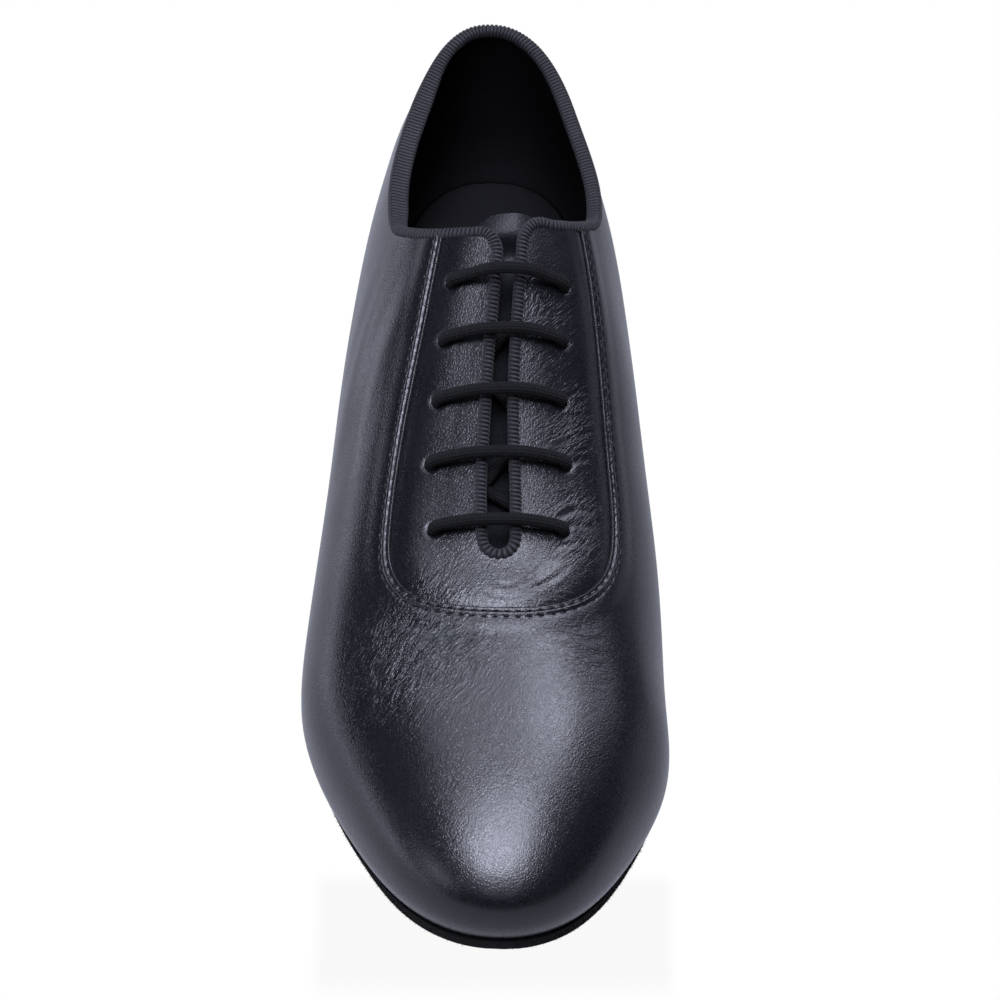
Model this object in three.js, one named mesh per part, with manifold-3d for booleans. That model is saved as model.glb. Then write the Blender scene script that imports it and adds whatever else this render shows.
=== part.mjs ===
// Right-foot latin dance shoe: a low lace-up standing on its sole and heel.
// Millimetres, +Z up, toe towards -Y, big-toe side towards +X, floor at Z 0.
import * as THREE from "three";
import { mergeVertices } from "three/addons/utils/BufferGeometryUtils.js";
import Module from "manifold-3d";

// Driving dimensions of the last
const LENGTH = 288;
const BALL_WIDTH = 100;
const INSTEP_HEIGHT = 104;
const BACK_HEIGHT = 103;
const HEEL_HEIGHT = 38.6;
const TOE_SPRING = 8;
const HEEL_CURVE = 36;
const TOE_CURVE_LATERAL = 82.4;
const TOE_CURVE_MEDIAL = 69;
const TOE_DROP = 57.6;
const BACK_LEAN = 4.5;

// Driving dimensions of the pieces
const UPPER_WALL = 2;
const SOLE_THICKNESS = 3.5;
const SOLE_INSET_TOE = 2.5;
const SOLE_INSET_HEEL = 3;
const FEATHER_INSET = 0.8;
const INSOLE_THICKNESS = 2;
const HEEL_LENGTH = 62;
const HEEL_TAPER = 0.91;
const TOP_PIECE_THICKNESS = 5;
const THROAT_LENGTH = 83;
const THROAT_END = 189;
const THROAT_GAP = 8;
const FACING_CORNER = 8;
const TOPLINE_SKEW = 0.08;
const BINDING_WIDTH = 2.3;
const BINDING_THICKNESS = 0.6;
const LACE_DIAMETER = 3.4;
const LACE_ARCH = 3.2;
const EYELET_CLEARANCE = 0.5;
const EYELET_SPREAD = 17;
const TONGUE_THICKNESS = 1.6;
const TONGUE_WIDTH = 46;
const TONGUE_TOP = 99;
const TONGUE_FOOT = 202;
const CLEARANCE = 0.3;
const BINDING_CLEARANCE = 0.45;
const INSOLE_CLEARANCE = 0.5;

// Cross sections of the last, heel to toe: at is a share of the length, arch of the heel height,
// lateral, medial and axis of the ball width, crest and widest of the instep height, full is the
// power of the curve over the top, seat_lateral and seat_medial are the shares that the sole keeps
const SECTIONS = [
  { at: 0.0, arch: 1.0, lateral: 0.272, medial: 0.27, axis: -0.027, crest: 1.146, widest: 0.183,
    full: 1.81, seat_lateral: 0.93, seat_medial: 0.93 },
  { at: 0.08, arch: 0.984, lateral: 0.324, medial: 0.265, axis: 0.001, crest: 1.153, widest: 0.183,
    full: 1.77, seat_lateral: 0.92, seat_medial: 0.92 },
  { at: 0.16, arch: 0.94, lateral: 0.385, medial: 0.276, axis: 0.024, crest: 1.188, widest: 0.192,
    full: 1.83, seat_lateral: 0.91, seat_medial: 0.9 },
  { at: 0.24, arch: 0.855, lateral: 0.445, medial: 0.303, axis: 0.045, crest: 1.176, widest: 0.202,
    full: 1.88, seat_lateral: 0.86, seat_medial: 0.83 },
  { at: 0.32, arch: 0.694, lateral: 0.481, medial: 0.335, axis: 0.047, crest: 1.119, widest: 0.212,
    full: 1.82, seat_lateral: 0.79, seat_medial: 0.73 },
  { at: 0.4, arch: 0.5, lateral: 0.501, medial: 0.366, axis: 0.041, crest: 1.0, widest: 0.212,
    full: 2.0, seat_lateral: 0.76, seat_medial: 0.64 },
  { at: 0.48, arch: 0.311, lateral: 0.519, medial: 0.398, axis: 0.035, crest: 0.865, widest: 0.202,
    full: 2.0, seat_lateral: 0.78, seat_medial: 0.64 },
  { at: 0.56, arch: 0.145, lateral: 0.542, medial: 0.428, axis: 0.03, crest: 0.74, widest: 0.183,
    full: 2.05, seat_lateral: 0.86, seat_medial: 0.76 },
  { at: 0.64, arch: 0.031, lateral: 0.56, medial: 0.447, axis: 0.023, crest: 0.639, widest: 0.163,
    full: 2.15, seat_lateral: 0.91, seat_medial: 0.88 },
  { at: 0.72, arch: -0.01, lateral: 0.562, medial: 0.459, axis: 0.018, crest: 0.558, widest: 0.149,
    full: 2.25, seat_lateral: 0.915, seat_medial: 0.91 },
  { at: 0.8, arch: 0.0, lateral: 0.523, medial: 0.466, axis: 0.018, crest: 0.495, widest: 0.135,
    full: 2.3, seat_lateral: 0.915, seat_medial: 0.91 },
  { at: 0.88, arch: 0.0, lateral: 0.475, medial: 0.437, axis: 0.02, crest: 0.447, widest: 0.115,
    full: 2.35, seat_lateral: 0.915, seat_medial: 0.91 },
  { at: 0.94, arch: 0.0, lateral: 0.454, medial: 0.42, axis: 0.023, crest: 0.413, widest: 0.101,
    full: 2.4, seat_lateral: 0.93, seat_medial: 0.925 },
  { at: 1.0, arch: 0.0, lateral: 0.435, medial: 0.421, axis: 0.026, crest: 0.38, widest: 0.091,
    full: 2.4, seat_lateral: 0.945, seat_medial: 0.935 },
];

// Height of the topline edge along the shoe, as shares of the length and of the back height
const TOPLINE = [
  { at: 0.0, height: 1.0 },
  { at: 0.1, height: 0.966 },
  { at: 0.2, height: 0.94 },
  { at: 0.275, height: 0.926 },
  { at: 0.3, height: 0.937 },
  { at: 0.318, height: 0.97 },
  { at: 0.337, height: 1.012 },
  { at: 0.354, height: 1.06 },
  { at: 0.382, height: 1.15 },
];

// Throat slot, shares of the length, of the ball width and of the widest gap
const THROAT = [
  { at: 0.36, middle: 0.04, gap: 0.66 },
  { at: 0.42, middle: 0.026, gap: 0.68 },
  { at: 0.48, middle: 0.012, gap: 0.74 },
  { at: 0.54, middle: 0.006, gap: 0.84 },
  { at: 0.59, middle: 0.005, gap: 1.0 },
  { at: 0.65, middle: 0.008, gap: 0.98 },
];

// Eyelet pairs from the toe end up: back is a share of the throat length behind its end,
// spread a share of the eyelet spread to each side of the throat's middle
const EYELETS = [
  { back: 0.095, spread: 1.06, arch: 1.0 },
  { back: 0.32, spread: 1.11, arch: 1.0 },
  { back: 0.519, spread: 1.02, arch: 1.0 },
  { back: 0.703, spread: 0.98, arch: 1.05 },
  { back: 0.877, spread: 0.93, arch: 1.7 },
];

// Crossings under the facings, as pairs of eyelet rows from the medial or the lateral side
const CROSSINGS = [
  { medial: 0, lateral: 1 },
  { lateral: 0, medial: 2 },
  { medial: 1, lateral: 3 },
  { lateral: 2, medial: 4 },
];

// Tongue: at is a share of its length from the top, drop of the depth under the laces, and
// width a share of its full width
const TONGUE = [
  { at: 0.0, drop: 0.52, width: 0.3 },
  { at: 0.025, drop: 0.52, width: 0.6 },
  { at: 0.06, drop: 0.56, width: 0.78 },
  { at: 0.1, drop: 1.0, width: 0.88 },
  { at: 0.2, drop: 1.0, width: 0.96 },
  { at: 0.5, drop: 1.0, width: 1.0 },
  { at: 0.83, drop: 1.0, width: 0.98 },
  { at: 0.92, drop: 0.5, width: 0.92 },
  { at: 1.0, drop: 0.38, width: 0.84 },
];

// Heel block levels from the floor up: taper is a share of the full taper at that height
const HEEL_LEVELS = [
  { height: 0.0, taper: 1.0 },
  { height: 0.33, taper: 0.86 },
  { height: 0.66, taper: 0.55 },
  { height: 1.0, taper: 0.0 },
];

// Shares of the length where the arch and the flat tread end, and the shape of the curves
const ARCH_TO = 0.72;
const TREAD_FLAT_TO = 0.78;
const SPRING_POWER = 1.7;
const HEEL_CURVE_POWER = 2.3;
const TOE_POWER_LATERAL = 2.23;
const TOE_POWER_MEDIAL = 2.04;
const TOE_DROP_POWER = 2.5;
const TUCK_POWER = 2.2;
const LEAN_REACH = 0.25;
const ROUNDEST_LEVEL = 0.2;
const LEAN_LEVELS = 0.42;

// Shares of the length on the widest outline that each part of the rim leads down to, counted
// from where the collar leaves its own cross sections
const COLLAR = [0, 0.006, 0.016, 0.032, 0.055, 0.085, 0.115, 0.145, 0.175, 0.205, 0.235, 0.26];
const FRONT_SEARCH = [0.3, 0.4];
const FRONT_SPREAD = 0.1;
const CORNER_SPREAD = 0.04;
const THROAT_SPREAD = 0.34;

// Route of a lace bar: bends in lace radii, and heights and places as shares
const STUB_RADII = 0.6;
const BEND_RADII = 1.35;
const FIRST_BEND = 0.3;
const FIRST_HEIGHT = 0.72;
const LAST_BEND = 2.2;
const SLOPE_PLACE = 0.38;
const BAR_SPARE = 0.25;

// Counts of facets, and how evenly the stations of the sole are spread
const FRONT_STEPS = 12;
const CORNER_STEPS = 5;
const THROAT_STEPS = 11;
const END_STEPS = 9;
const HEEL_STEPS = 12;
const EVEN_SHARE = 0.25;
const TONGUE_ROW_POWER = 1.5;
const OVER_ROWS = 10;
const UNDER_ROWS = 3;
const SOLE_STATIONS = 36;
const TONGUE_ROWS = 16;
const TONGUE_COLUMNS = 8;
const BAR_STEPS = 16;
const CROSSING_STEPS = 5;
const LACE_SIDES = 8;
const EYELET_SIDES = 12;

const wasm = await Module();
wasm.setup();

// Natural cubic spline through one column of a table
function spline(rows, column) {
  const x = rows.map((row) => row.at);
  const v = rows.map((row) => row[column]);
  const n = x.length;
  const h = x.slice(1).map((value, i) => value - x[i]);
  const c = new Array(n).fill(0);
  const mu = new Array(n).fill(0);
  const z = new Array(n).fill(0);
  for (let i = 1; i < n - 1; i += 1) {
    const bend = 3 * ((v[i + 1] - v[i]) / h[i] - (v[i] - v[i - 1]) / h[i - 1]);
    const pivot = 2 * (x[i + 1] - x[i - 1]) - h[i - 1] * mu[i - 1];
    mu[i] = h[i] / pivot;
    z[i] = (bend - h[i - 1] * z[i - 1]) / pivot;
  }
  for (let i = n - 2; i > 0; i -= 1) {
    c[i] = z[i] - mu[i] * c[i + 1];
  }
  return (at) => {
    let i = 0;
    while (i < n - 2 && at > x[i + 1]) {
      i += 1;
    }
    const d = at - x[i];
    const slope = (v[i + 1] - v[i]) / h[i] - (h[i] * (2 * c[i] + c[i + 1])) / 3;
    return v[i] + slope * d + c[i] * d * d + ((c[i + 1] - c[i]) / (3 * h[i])) * d * d * d;
  };
}

// Straight runs between the rows of one column of a table
function runs(rows, column) {
  return (at) => {
    const next = rows.findIndex((row) => row.at >= at);
    if (next < 1) {
      return rows[Math.max(0, next)][column];
    }
    const from = rows[next - 1];
    const to = rows[next];
    const way = (at - from.at) / (to.at - from.at);
    return from[column] + (to[column] - from[column]) * way;
  };
}

const section = {};
for (const column of Object.keys(SECTIONS[0])) {
  section[column] = spline(SECTIONS, column);
}
const toplineHeight = spline(TOPLINE, "height");
const throatMiddle = spline(THROAT, "middle");
const throatGap = spline(THROAT, "gap");

// Rounded end of a plan outline: 1 away from the end, 0 at it
function roundEnd(distance, reach, power) {
  const u = Math.min(1, Math.max(0, 1 - distance / reach));
  return (1 - u ** power) ** (1 / power);
}

// Last surface. t runs from 0 at the heel back to 1 at the toe tip, side is -1 lateral, 1 medial
function underside(t) {
  const arch = t < ARCH_TO ? Math.max(0, section.arch(t)) : 0;
  const spring = Math.max(0, (t - TREAD_FLAT_TO) / (1 - TREAD_FLAT_TO)) ** SPRING_POWER;
  return HEEL_HEIGHT * arch + TOE_SPRING * spring;
}

function seatHeight(t) {
  return underside(t) + SOLE_THICKNESS;
}

function widestHeight(t) {
  return seatHeight(t) + INSTEP_HEIGHT * section.widest(t);
}

function rise(t) {
  const drop = roundEnd((1 - t) * LENGTH, TOE_DROP, TOE_DROP_POWER);
  return (INSTEP_HEIGHT * section.crest(t) - widestHeight(t)) * drop;
}

function endRounding(t, side) {
  const reach = side > 0 ? TOE_CURVE_MEDIAL : TOE_CURVE_LATERAL;
  const power = side > 0 ? TOE_POWER_MEDIAL : TOE_POWER_LATERAL;
  const heel = roundEnd(t * LENGTH, HEEL_CURVE, HEEL_CURVE_POWER);
  return heel * roundEnd((1 - t) * LENGTH, reach, power);
}

function fullWidth(t, side) {
  return BALL_WIDTH * (side > 0 ? section.medial(t) : section.lateral(t));
}

function halfWidth(t, side) {
  return fullWidth(t, side) * endRounding(t, side);
}

function axisX(t) {
  return BALL_WIDTH * section.axis(t);
}

// The heel back leans in above its roundest height and below it
function placeY(t, z) {
  const fade = THREE.MathUtils.smoothstep(LEAN_REACH - t, 0, LEAN_REACH);
  const over = (z - HEEL_HEIGHT - ROUNDEST_LEVEL * INSTEP_HEIGHT) / (LEAN_LEVELS * INSTEP_HEIGHT);
  return (0.5 - t) * LENGTH - BACK_LEAN * fade * over * over;
}

function heightAt(x, t) {
  const side = x > axisX(t) ? 1 : -1;
  const half = Math.max(halfWidth(t, side), 1e-6);
  const power = section.full(t);
  const share = Math.min(1, Math.abs(x - axisX(t)) / half);
  return widestHeight(t) + rise(t) * (1 - share ** power) ** (1 / power);
}

function surfacePoint(x, t) {
  const z = heightAt(x, t);
  return new THREE.Vector3(x, placeY(t, z), z);
}

// Outward normal of the last at a plan place away from its outline
function surfaceNormal(x, t) {
  const step = 0.0015;
  const across = surfacePoint(x + step * LENGTH, t).sub(surfacePoint(x - step * LENGTH, t));
  const along = surfacePoint(x, t + step).sub(surfacePoint(x, t - step));
  const normal = along.cross(across).normalize();
  return normal.z < 0 ? normal.negate() : normal;
}

// Point of the sole's outline: u runs from heel to toe along one side, inset moves it inwards
function soleEdge(u, side, inset) {
  const place = (share, way) => {
    const s = Math.min(share, 2 - share);
    const flip = share > 1 ? -way : way;
    const t = (SOLE_INSET_HEEL + s * (LENGTH - SOLE_INSET_HEEL - SOLE_INSET_TOE)) / LENGTH;
    const seat = flip > 0 ? section.seat_medial(t) : section.seat_lateral(t);
    return [axisX(t) + flip * fullWidth(t, flip) * seat * endRounding(s, flip), (0.5 - t) * LENGTH];
  };
  const step = 0.002;
  const [x, y] = place(u, side);
  const [xNext, yNext] = place(u + step, side);
  const [xLast, yLast] = u < step ? place(step - u, -side) : place(u - step, side);
  const length = Math.hypot(xNext - xLast, yNext - yLast);
  return {
    x: x + (side * inset * (yNext - yLast)) / length,
    y: y - (side * inset * (xNext - xLast)) / length,
  };
}

function shareAt(y) {
  return 0.5 - y / LENGTH;
}

// Rim of the opening on one side, as plan places from the heel back to the throat's end, each
// with the place on the widest outline that the leather runs down to
function crestShare(t, side) {
  const height = BACK_HEIGHT * toplineHeight(t + (TOPLINE_SKEW * side * halfWidth(t, side)) / LENGTH / 2);
  const share = Math.max(0, (height - widestHeight(t)) / rise(t));
  return share >= 1 ? 0 : (1 - share ** section.full(t)) ** (1 / section.full(t));
}

function bisect(low, high, test) {
  let a = low;
  let b = high;
  for (let i = 0; i < 40; i += 1) {
    const middle = (a + b) / 2;
    if (test(middle)) {
      a = middle;
    } else {
      b = middle;
    }
  }
  return (a + b) / 2;
}

const throatEndShare = THROAT_END / LENGTH;

function throatSide(t, side) {
  return BALL_WIDTH * throatMiddle(t) + (side * THROAT_GAP * throatGap(t)) / 2;
}

function rimSide(side) {
  const rim = [];
  const cornerX = (t) => throatSide(t, side) + side * FACING_CORNER;
  const frontShare = bisect(...FRONT_SEARCH, (t) => {
    const x = axisX(t) + side * halfWidth(t, side) * crestShare(t, side);
    return crestShare(t, side) > 0 && side * (x - cornerX(t)) > 0;
  });
  for (const t of COLLAR) {
    rim.push({ t, side, share: crestShare(t, side), down: t });
  }
  const collarEnd = COLLAR[COLLAR.length - 1];
  const frontEnd = collarEnd + FRONT_SPREAD;
  for (let i = 1; i <= FRONT_STEPS; i += 1) {
    const way = i / FRONT_STEPS;
    const t = collarEnd + (frontShare - collarEnd) * way;
    rim.push({ t, side, share: crestShare(t, side), down: collarEnd + FRONT_SPREAD * way });
  }
  const cornerTop = (0.5 - frontShare) * LENGTH;
  const cornerEnd = frontEnd + CORNER_SPREAD;
  for (let i = 1; i <= CORNER_STEPS; i += 1) {
    const turn = ((Math.PI / 2) * i) / CORNER_STEPS;
    const t = shareAt(cornerTop - FACING_CORNER * (1 - Math.cos(turn)));
    const x = throatSide(t, side) + side * FACING_CORNER * (1 - Math.sin(turn));
    rim.push({ t, side, x, down: frontEnd + (CORNER_SPREAD * i) / CORNER_STEPS });
  }
  const edgeFrom = rim[rim.length - 1].t;
  const endRadius = (THROAT_GAP * throatGap(throatEndShare)) / 2;
  const edgeTo = throatEndShare - endRadius / LENGTH;
  const edgeEnd = cornerEnd + THROAT_SPREAD;
  for (let i = 1; i <= THROAT_STEPS; i += 1) {
    const way = i / THROAT_STEPS;
    const t = edgeFrom + (edgeTo - edgeFrom) * way;
    rim.push({ t, side, x: throatSide(t, side), down: cornerEnd + THROAT_SPREAD * way });
  }
  for (let i = 1; i <= END_STEPS; i += 1) {
    const turn = ((Math.PI / 2) * i) / END_STEPS;
    const t = edgeTo + (endRadius * Math.sin(turn)) / LENGTH;
    const x = BALL_WIDTH * throatMiddle(t) + side * endRadius * Math.cos(turn);
    rim.push({ t, side, x, down: edgeEnd + (1 - edgeEnd) * Math.sin(turn) });
  }
  return rim;
}

const rimLateral = rimSide(-1);
const rimMedial = rimSide(1);
const rays = [...rimLateral, ...rimMedial.slice(1, -1).reverse()];

// One line of points down the leather, from the rim over the widest line to the feather edge
function rayPoints({ t, side, share, x, down }) {
  const power = section.full(t);
  const half = halfWidth(t, side);
  const rimX = x ?? axisX(t) + side * half * share;
  const rimSideSign = rimX > axisX(t) ? 1 : -1;
  const rimShare = share ?? Math.abs(rimX - axisX(t)) / halfWidth(t, rimSideSign);
  const rimAngle = Math.acos(Math.min(1, rimShare ** (power / 2)));
  const outlineX = axisX(down) + side * halfWidth(down, side);
  const points = [];
  for (let i = 0; i <= OVER_ROWS; i += 1) {
    const angle = rimAngle * (1 - i / OVER_ROWS);
    const reach = Math.cos(angle) ** (2 / power);
    if (down === t) {
      const z = widestHeight(t) + rise(t) * Math.sin(angle) ** (2 / power);
      points.push(new THREE.Vector3(axisX(t) + side * half * reach, placeY(t, z), z));
    } else {
      const way = (reach - rimShare) / (1 - rimShare);
      points.push(surfacePoint(rimX + (outlineX - rimX) * way, t + (down - t) * way));
    }
  }
  const widest = points[OVER_ROWS];
  const edge = soleEdge(down, side, FEATHER_INSET);
  const floor = seatHeight(shareAt(edge.y)) + CLEARANCE;
  for (let i = 1; i <= UNDER_ROWS; i += 1) {
    const sink = i / UNDER_ROWS;
    const tuck = sink ** TUCK_POWER;
    points.push(new THREE.Vector3(
      widest.x + (edge.x - widest.x) * tuck,
      widest.y + (edge.y - widest.y) * tuck,
      widest.z + (floor - widest.z) * sink,
    ));
  }
  return points;
}

const outerGrid = rays.map(rayPoints);
const rowCount = OVER_ROWS + UNDER_ROWS + 1;

// Outward normal at each point of the grid, averaged from the facets around it
function gridNormals(grid) {
  const normals = grid.map((line) => line.map(() => new THREE.Vector3()));
  for (let k = 0; k < grid.length; k += 1) {
    const next = (k + 1) % grid.length;
    for (let i = 0; i < rowCount - 1; i += 1) {
      const corners = [[k, i], [k, i + 1], [next, i + 1], [next, i]];
      const [a, b, c, d] = corners.map(([line, row]) => grid[line][row]);
      const facet = c.clone().sub(a).cross(d.clone().sub(b));
      for (const [line, row] of corners) {
        normals[line][row].add(facet);
      }
    }
  }
  return normals.map((line) => line.map((normal) => normal.normalize()));
}

const outerNormals = gridNormals(outerGrid);

// Closed mesh from vertices and polygons with three or four corners
function meshFrom(vertices, polygons) {
  const position = new Float32Array(vertices.flatMap((v) => [v.x, v.y, v.z]));
  const index = polygons.flatMap(([a, b, c, d]) => (d === undefined ? [a, b, c] : [a, b, c, a, c, d]));
  const raw = new THREE.BufferGeometry();
  raw.setAttribute("position", new THREE.BufferAttribute(position, 3));
  raw.setIndex(index);
  return dropFlatFacets(mergeVertices(raw, 1e-3));
}

function dropFlatFacets(geometry) {
  const index = geometry.getIndex().array;
  const kept = [];
  for (let i = 0; i < index.length; i += 3) {
    const [a, b, c] = index.slice(i, i + 3);
    if (a !== b && b !== c && c !== a) {
      kept.push(a, b, c);
    }
  }
  geometry.setIndex(kept);
  return geometry;
}

function toSolid(geometry) {
  const plain = geometry.clone();
  plain.deleteAttribute("normal");
  plain.deleteAttribute("uv");
  const merged = dropFlatFacets(mergeVertices(plain, 1e-3));
  return new wasm.Manifold(new wasm.Mesh({
    numProp: 3,
    vertProperties: new Float32Array(merged.getAttribute("position").array),
    triVerts: new Uint32Array(merged.getIndex().array),
  }));
}

function fromSolid(solid) {
  const mesh = solid.getMesh();
  const geometry = new THREE.BufferGeometry();
  geometry.setAttribute("position", new THREE.BufferAttribute(mesh.vertProperties, 3));
  geometry.setIndex(new THREE.BufferAttribute(mesh.triVerts, 1));
  return geometry;
}

// Eyelets: one plan place, surface point and normal for each side of each row
const eyelets = EYELETS.map(({ back, spread, arch }) => {
  const t = (THROAT_END - back * THROAT_LENGTH) / LENGTH;
  const middle = BALL_WIDTH * throatMiddle(t);
  const hole = (side) => middle + side * spread * EYELET_SPREAD;
  return { t, middle, arch, lateral: hole(-1), medial: hole(1) };
});

const laceRadius = LACE_DIAMETER / 2;
const bindingStack = BINDING_CLEARANCE + BINDING_THICKNESS + CLEARANCE;
const laceDepth = UPPER_WALL + bindingStack + laceRadius;

function eyeletCutter(x, t) {
  const normal = surfaceNormal(x, t);
  const reach = UPPER_WALL + 2 * laceRadius;
  const bore = new THREE.CylinderGeometry(
    laceRadius + EYELET_CLEARANCE, laceRadius + EYELET_CLEARANCE, 2 * reach, EYELET_SIDES,
  );
  bore.applyQuaternion(new THREE.Quaternion().setFromUnitVectors(new THREE.Vector3(0, 1, 0), normal));
  const middle = surfacePoint(x, t).addScaledVector(normal, -UPPER_WALL / 2);
  bore.translate(middle.x, middle.y, middle.z);
  return toSolid(bore);
}

// Upper: the last's surface and the same surface moved in by the wall, joined at both edges
function makeUpper() {
  const lines = outerGrid.length;
  const vertices = [];
  for (let k = 0; k < lines; k += 1) {
    vertices.push(...outerGrid[k]);
  }
  for (let k = 0; k < lines; k += 1) {
    for (let i = 0; i < rowCount; i += 1) {
      const inner = outerGrid[k][i].clone().addScaledVector(outerNormals[k][i], -UPPER_WALL);
      if (i === rowCount - 1) {
        inner.z = outerGrid[k][i].z;
      }
      vertices.push(inner);
    }
  }
  const outer = (k, i) => (k % lines) * rowCount + i;
  const inner = (k, i) => lines * rowCount + outer(k, i);
  const last = rowCount - 1;
  const polygons = [];
  for (let k = 0; k < lines; k += 1) {
    for (let i = 0; i < last; i += 1) {
      polygons.push([outer(k, i), outer(k, i + 1), outer(k + 1, i + 1), outer(k + 1, i)]);
      polygons.push([inner(k, i), inner(k + 1, i), inner(k + 1, i + 1), inner(k, i + 1)]);
    }
    polygons.push([outer(k, 0), outer(k + 1, 0), inner(k + 1, 0), inner(k, 0)]);
    polygons.push([outer(k, last), inner(k, last), inner(k + 1, last), outer(k + 1, last)]);
  }
  let solid = toSolid(meshFrom(vertices, polygons));
  for (const { t, lateral, medial } of eyelets) {
    solid = solid.subtract(eyeletCutter(lateral, t)).subtract(eyeletCutter(medial, t));
  }
  return fromSolid(solid);
}

// Binding: a folded tape swept round the rim, one leg on each face of the leather
function makeBinding() {
  const over = BINDING_CLEARANCE;
  const inside = -UPPER_WALL - BINDING_CLEARANCE;
  const profile = [
    [BINDING_WIDTH, over],
    [-over, over],
    [-over, inside],
    [BINDING_WIDTH, inside],
    [BINDING_WIDTH, inside - BINDING_THICKNESS],
    [-over - BINDING_THICKNESS, inside - BINDING_THICKNESS],
    [-over - BINDING_THICKNESS, over + BINDING_THICKNESS],
    [BINDING_WIDTH, over + BINDING_THICKNESS],
  ];
  const lines = outerGrid.length;
  const vertices = [];
  for (let k = 0; k < lines; k += 1) {
    const here = outerGrid[k][0];
    const along = outerGrid[(k + 1) % lines][0].clone().sub(outerGrid[(k + lines - 1) % lines][0]);
    const normal = outerNormals[k][0];
    const into = normal.clone().cross(along).normalize();
    if (into.dot(outerGrid[k][1].clone().sub(here)) < 0) {
      into.negate();
    }
    for (const [width, height] of profile) {
      vertices.push(here.clone().addScaledVector(into, width).addScaledVector(normal, height));
    }
  }
  const count = profile.length;
  const at = (k, j) => (k % lines) * count + (j % count);
  const polygons = [];
  for (let k = 0; k < lines; k += 1) {
    for (let j = 0; j < count; j += 1) {
      polygons.push([at(k, j), at(k, j + 1), at(k + 1, j + 1), at(k + 1, j)]);
    }
  }
  return meshFrom(vertices, polygons);
}

// Slab between two heights above the plan outline of the sole
function makeSlab(inset, bottom, top) {
  const vertices = [];
  for (let i = 0; i <= SOLE_STATIONS; i += 1) {
    const even = i / SOLE_STATIONS;
    const eased = (1 - Math.cos(Math.PI * even)) / 2;
    const u = EVEN_SHARE * even + (1 - EVEN_SHARE) * eased;
    for (const side of [-1, 1]) {
      const { x, y } = soleEdge(u, side, inset);
      vertices.push(new THREE.Vector3(x, y, bottom(shareAt(y))));
      vertices.push(new THREE.Vector3(x, y, top(shareAt(y))));
    }
  }
  const polygons = [[0, 1, 3, 2]];
  for (let i = 0; i < SOLE_STATIONS; i += 1) {
    const a = 4 * i;
    const b = a + 4;
    polygons.push([a, a + 2, b + 2, b], [a + 1, b + 1, b + 3, a + 3]);
    polygons.push([a, b, b + 1, a + 1], [a + 2, a + 3, b + 3, b + 2]);
  }
  const end = 4 * SOLE_STATIONS;
  polygons.push([end, end + 2, end + 3, end + 1]);
  return meshFrom(vertices, polygons);
}

function makeOutsole() {
  return makeSlab(0, underside, seatHeight);
}

function makeInsole() {
  const inset = FEATHER_INSET + UPPER_WALL + INSOLE_CLEARANCE;
  const bottom = (t) => seatHeight(t) + CLEARANCE;
  return makeSlab(inset, bottom, (t) => bottom(t) + INSOLE_THICKNESS);
}

// Outline of the heel at a share of its taper, from the back to the breast on both sides
function heelOutline(taper) {
  const breast = HEEL_LENGTH / (LENGTH - SOLE_INSET_HEEL - SOLE_INSET_TOE);
  const middleY = soleEdge(breast / 2, 1, 0).y;
  const shrink = 1 - (1 - HEEL_TAPER) * taper;
  const outline = [];
  for (let i = 0; i <= HEEL_STEPS; i += 1) {
    const u = breast * (1 - Math.cos((Math.PI / 2) * (i / HEEL_STEPS)));
    for (const side of [-1, 1]) {
      const { x, y } = soleEdge(u, side, 0);
      const seat = shareAt(y);
      const centre = axisX(seat);
      outline.push({ x: centre + (x - centre) * shrink, y: middleY + (y - middleY) * shrink, seat });
    }
  }
  return outline;
}

function makeHeelStack(levels) {
  const vertices = levels.flatMap(({ outline, z }) => outline.map((p) => new THREE.Vector3(p.x, p.y, z(p))));
  const count = levels[0].outline.length;
  const at = (level, i) => level * count + i;
  const polygons = [];
  const top = levels.length - 1;
  for (let i = 0; i < count - 2; i += 2) {
    polygons.push([at(0, i), at(0, i + 1), at(0, i + 3), at(0, i + 2)]);
    polygons.push([at(top, i), at(top, i + 2), at(top, i + 3), at(top, i + 1)]);
    for (let level = 0; level < top; level += 1) {
      polygons.push([at(level, i), at(level, i + 2), at(level + 1, i + 2), at(level + 1, i)]);
      polygons.push([at(level, i + 1), at(level + 1, i + 1), at(level + 1, i + 3), at(level, i + 3)]);
    }
  }
  for (let level = 0; level < top; level += 1) {
    const a = at(level, count - 2);
    polygons.push([a, a + 1, a + 1 + count, a + count]);
  }
  return meshFrom(vertices, polygons);
}

function makeHeel() {
  const bottom = TOP_PIECE_THICKNESS + CLEARANCE;
  return makeHeelStack(HEEL_LEVELS.map(({ height, taper }) => ({
    outline: heelOutline(taper),
    z: (p) => bottom + (underside(p.seat) - CLEARANCE - bottom) * height,
  })));
}

function makeTopPiece() {
  const outline = heelOutline(1);
  return makeHeelStack([{ outline, z: () => 0 }, { outline, z: () => TOP_PIECE_THICKNESS }]);
}

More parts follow.
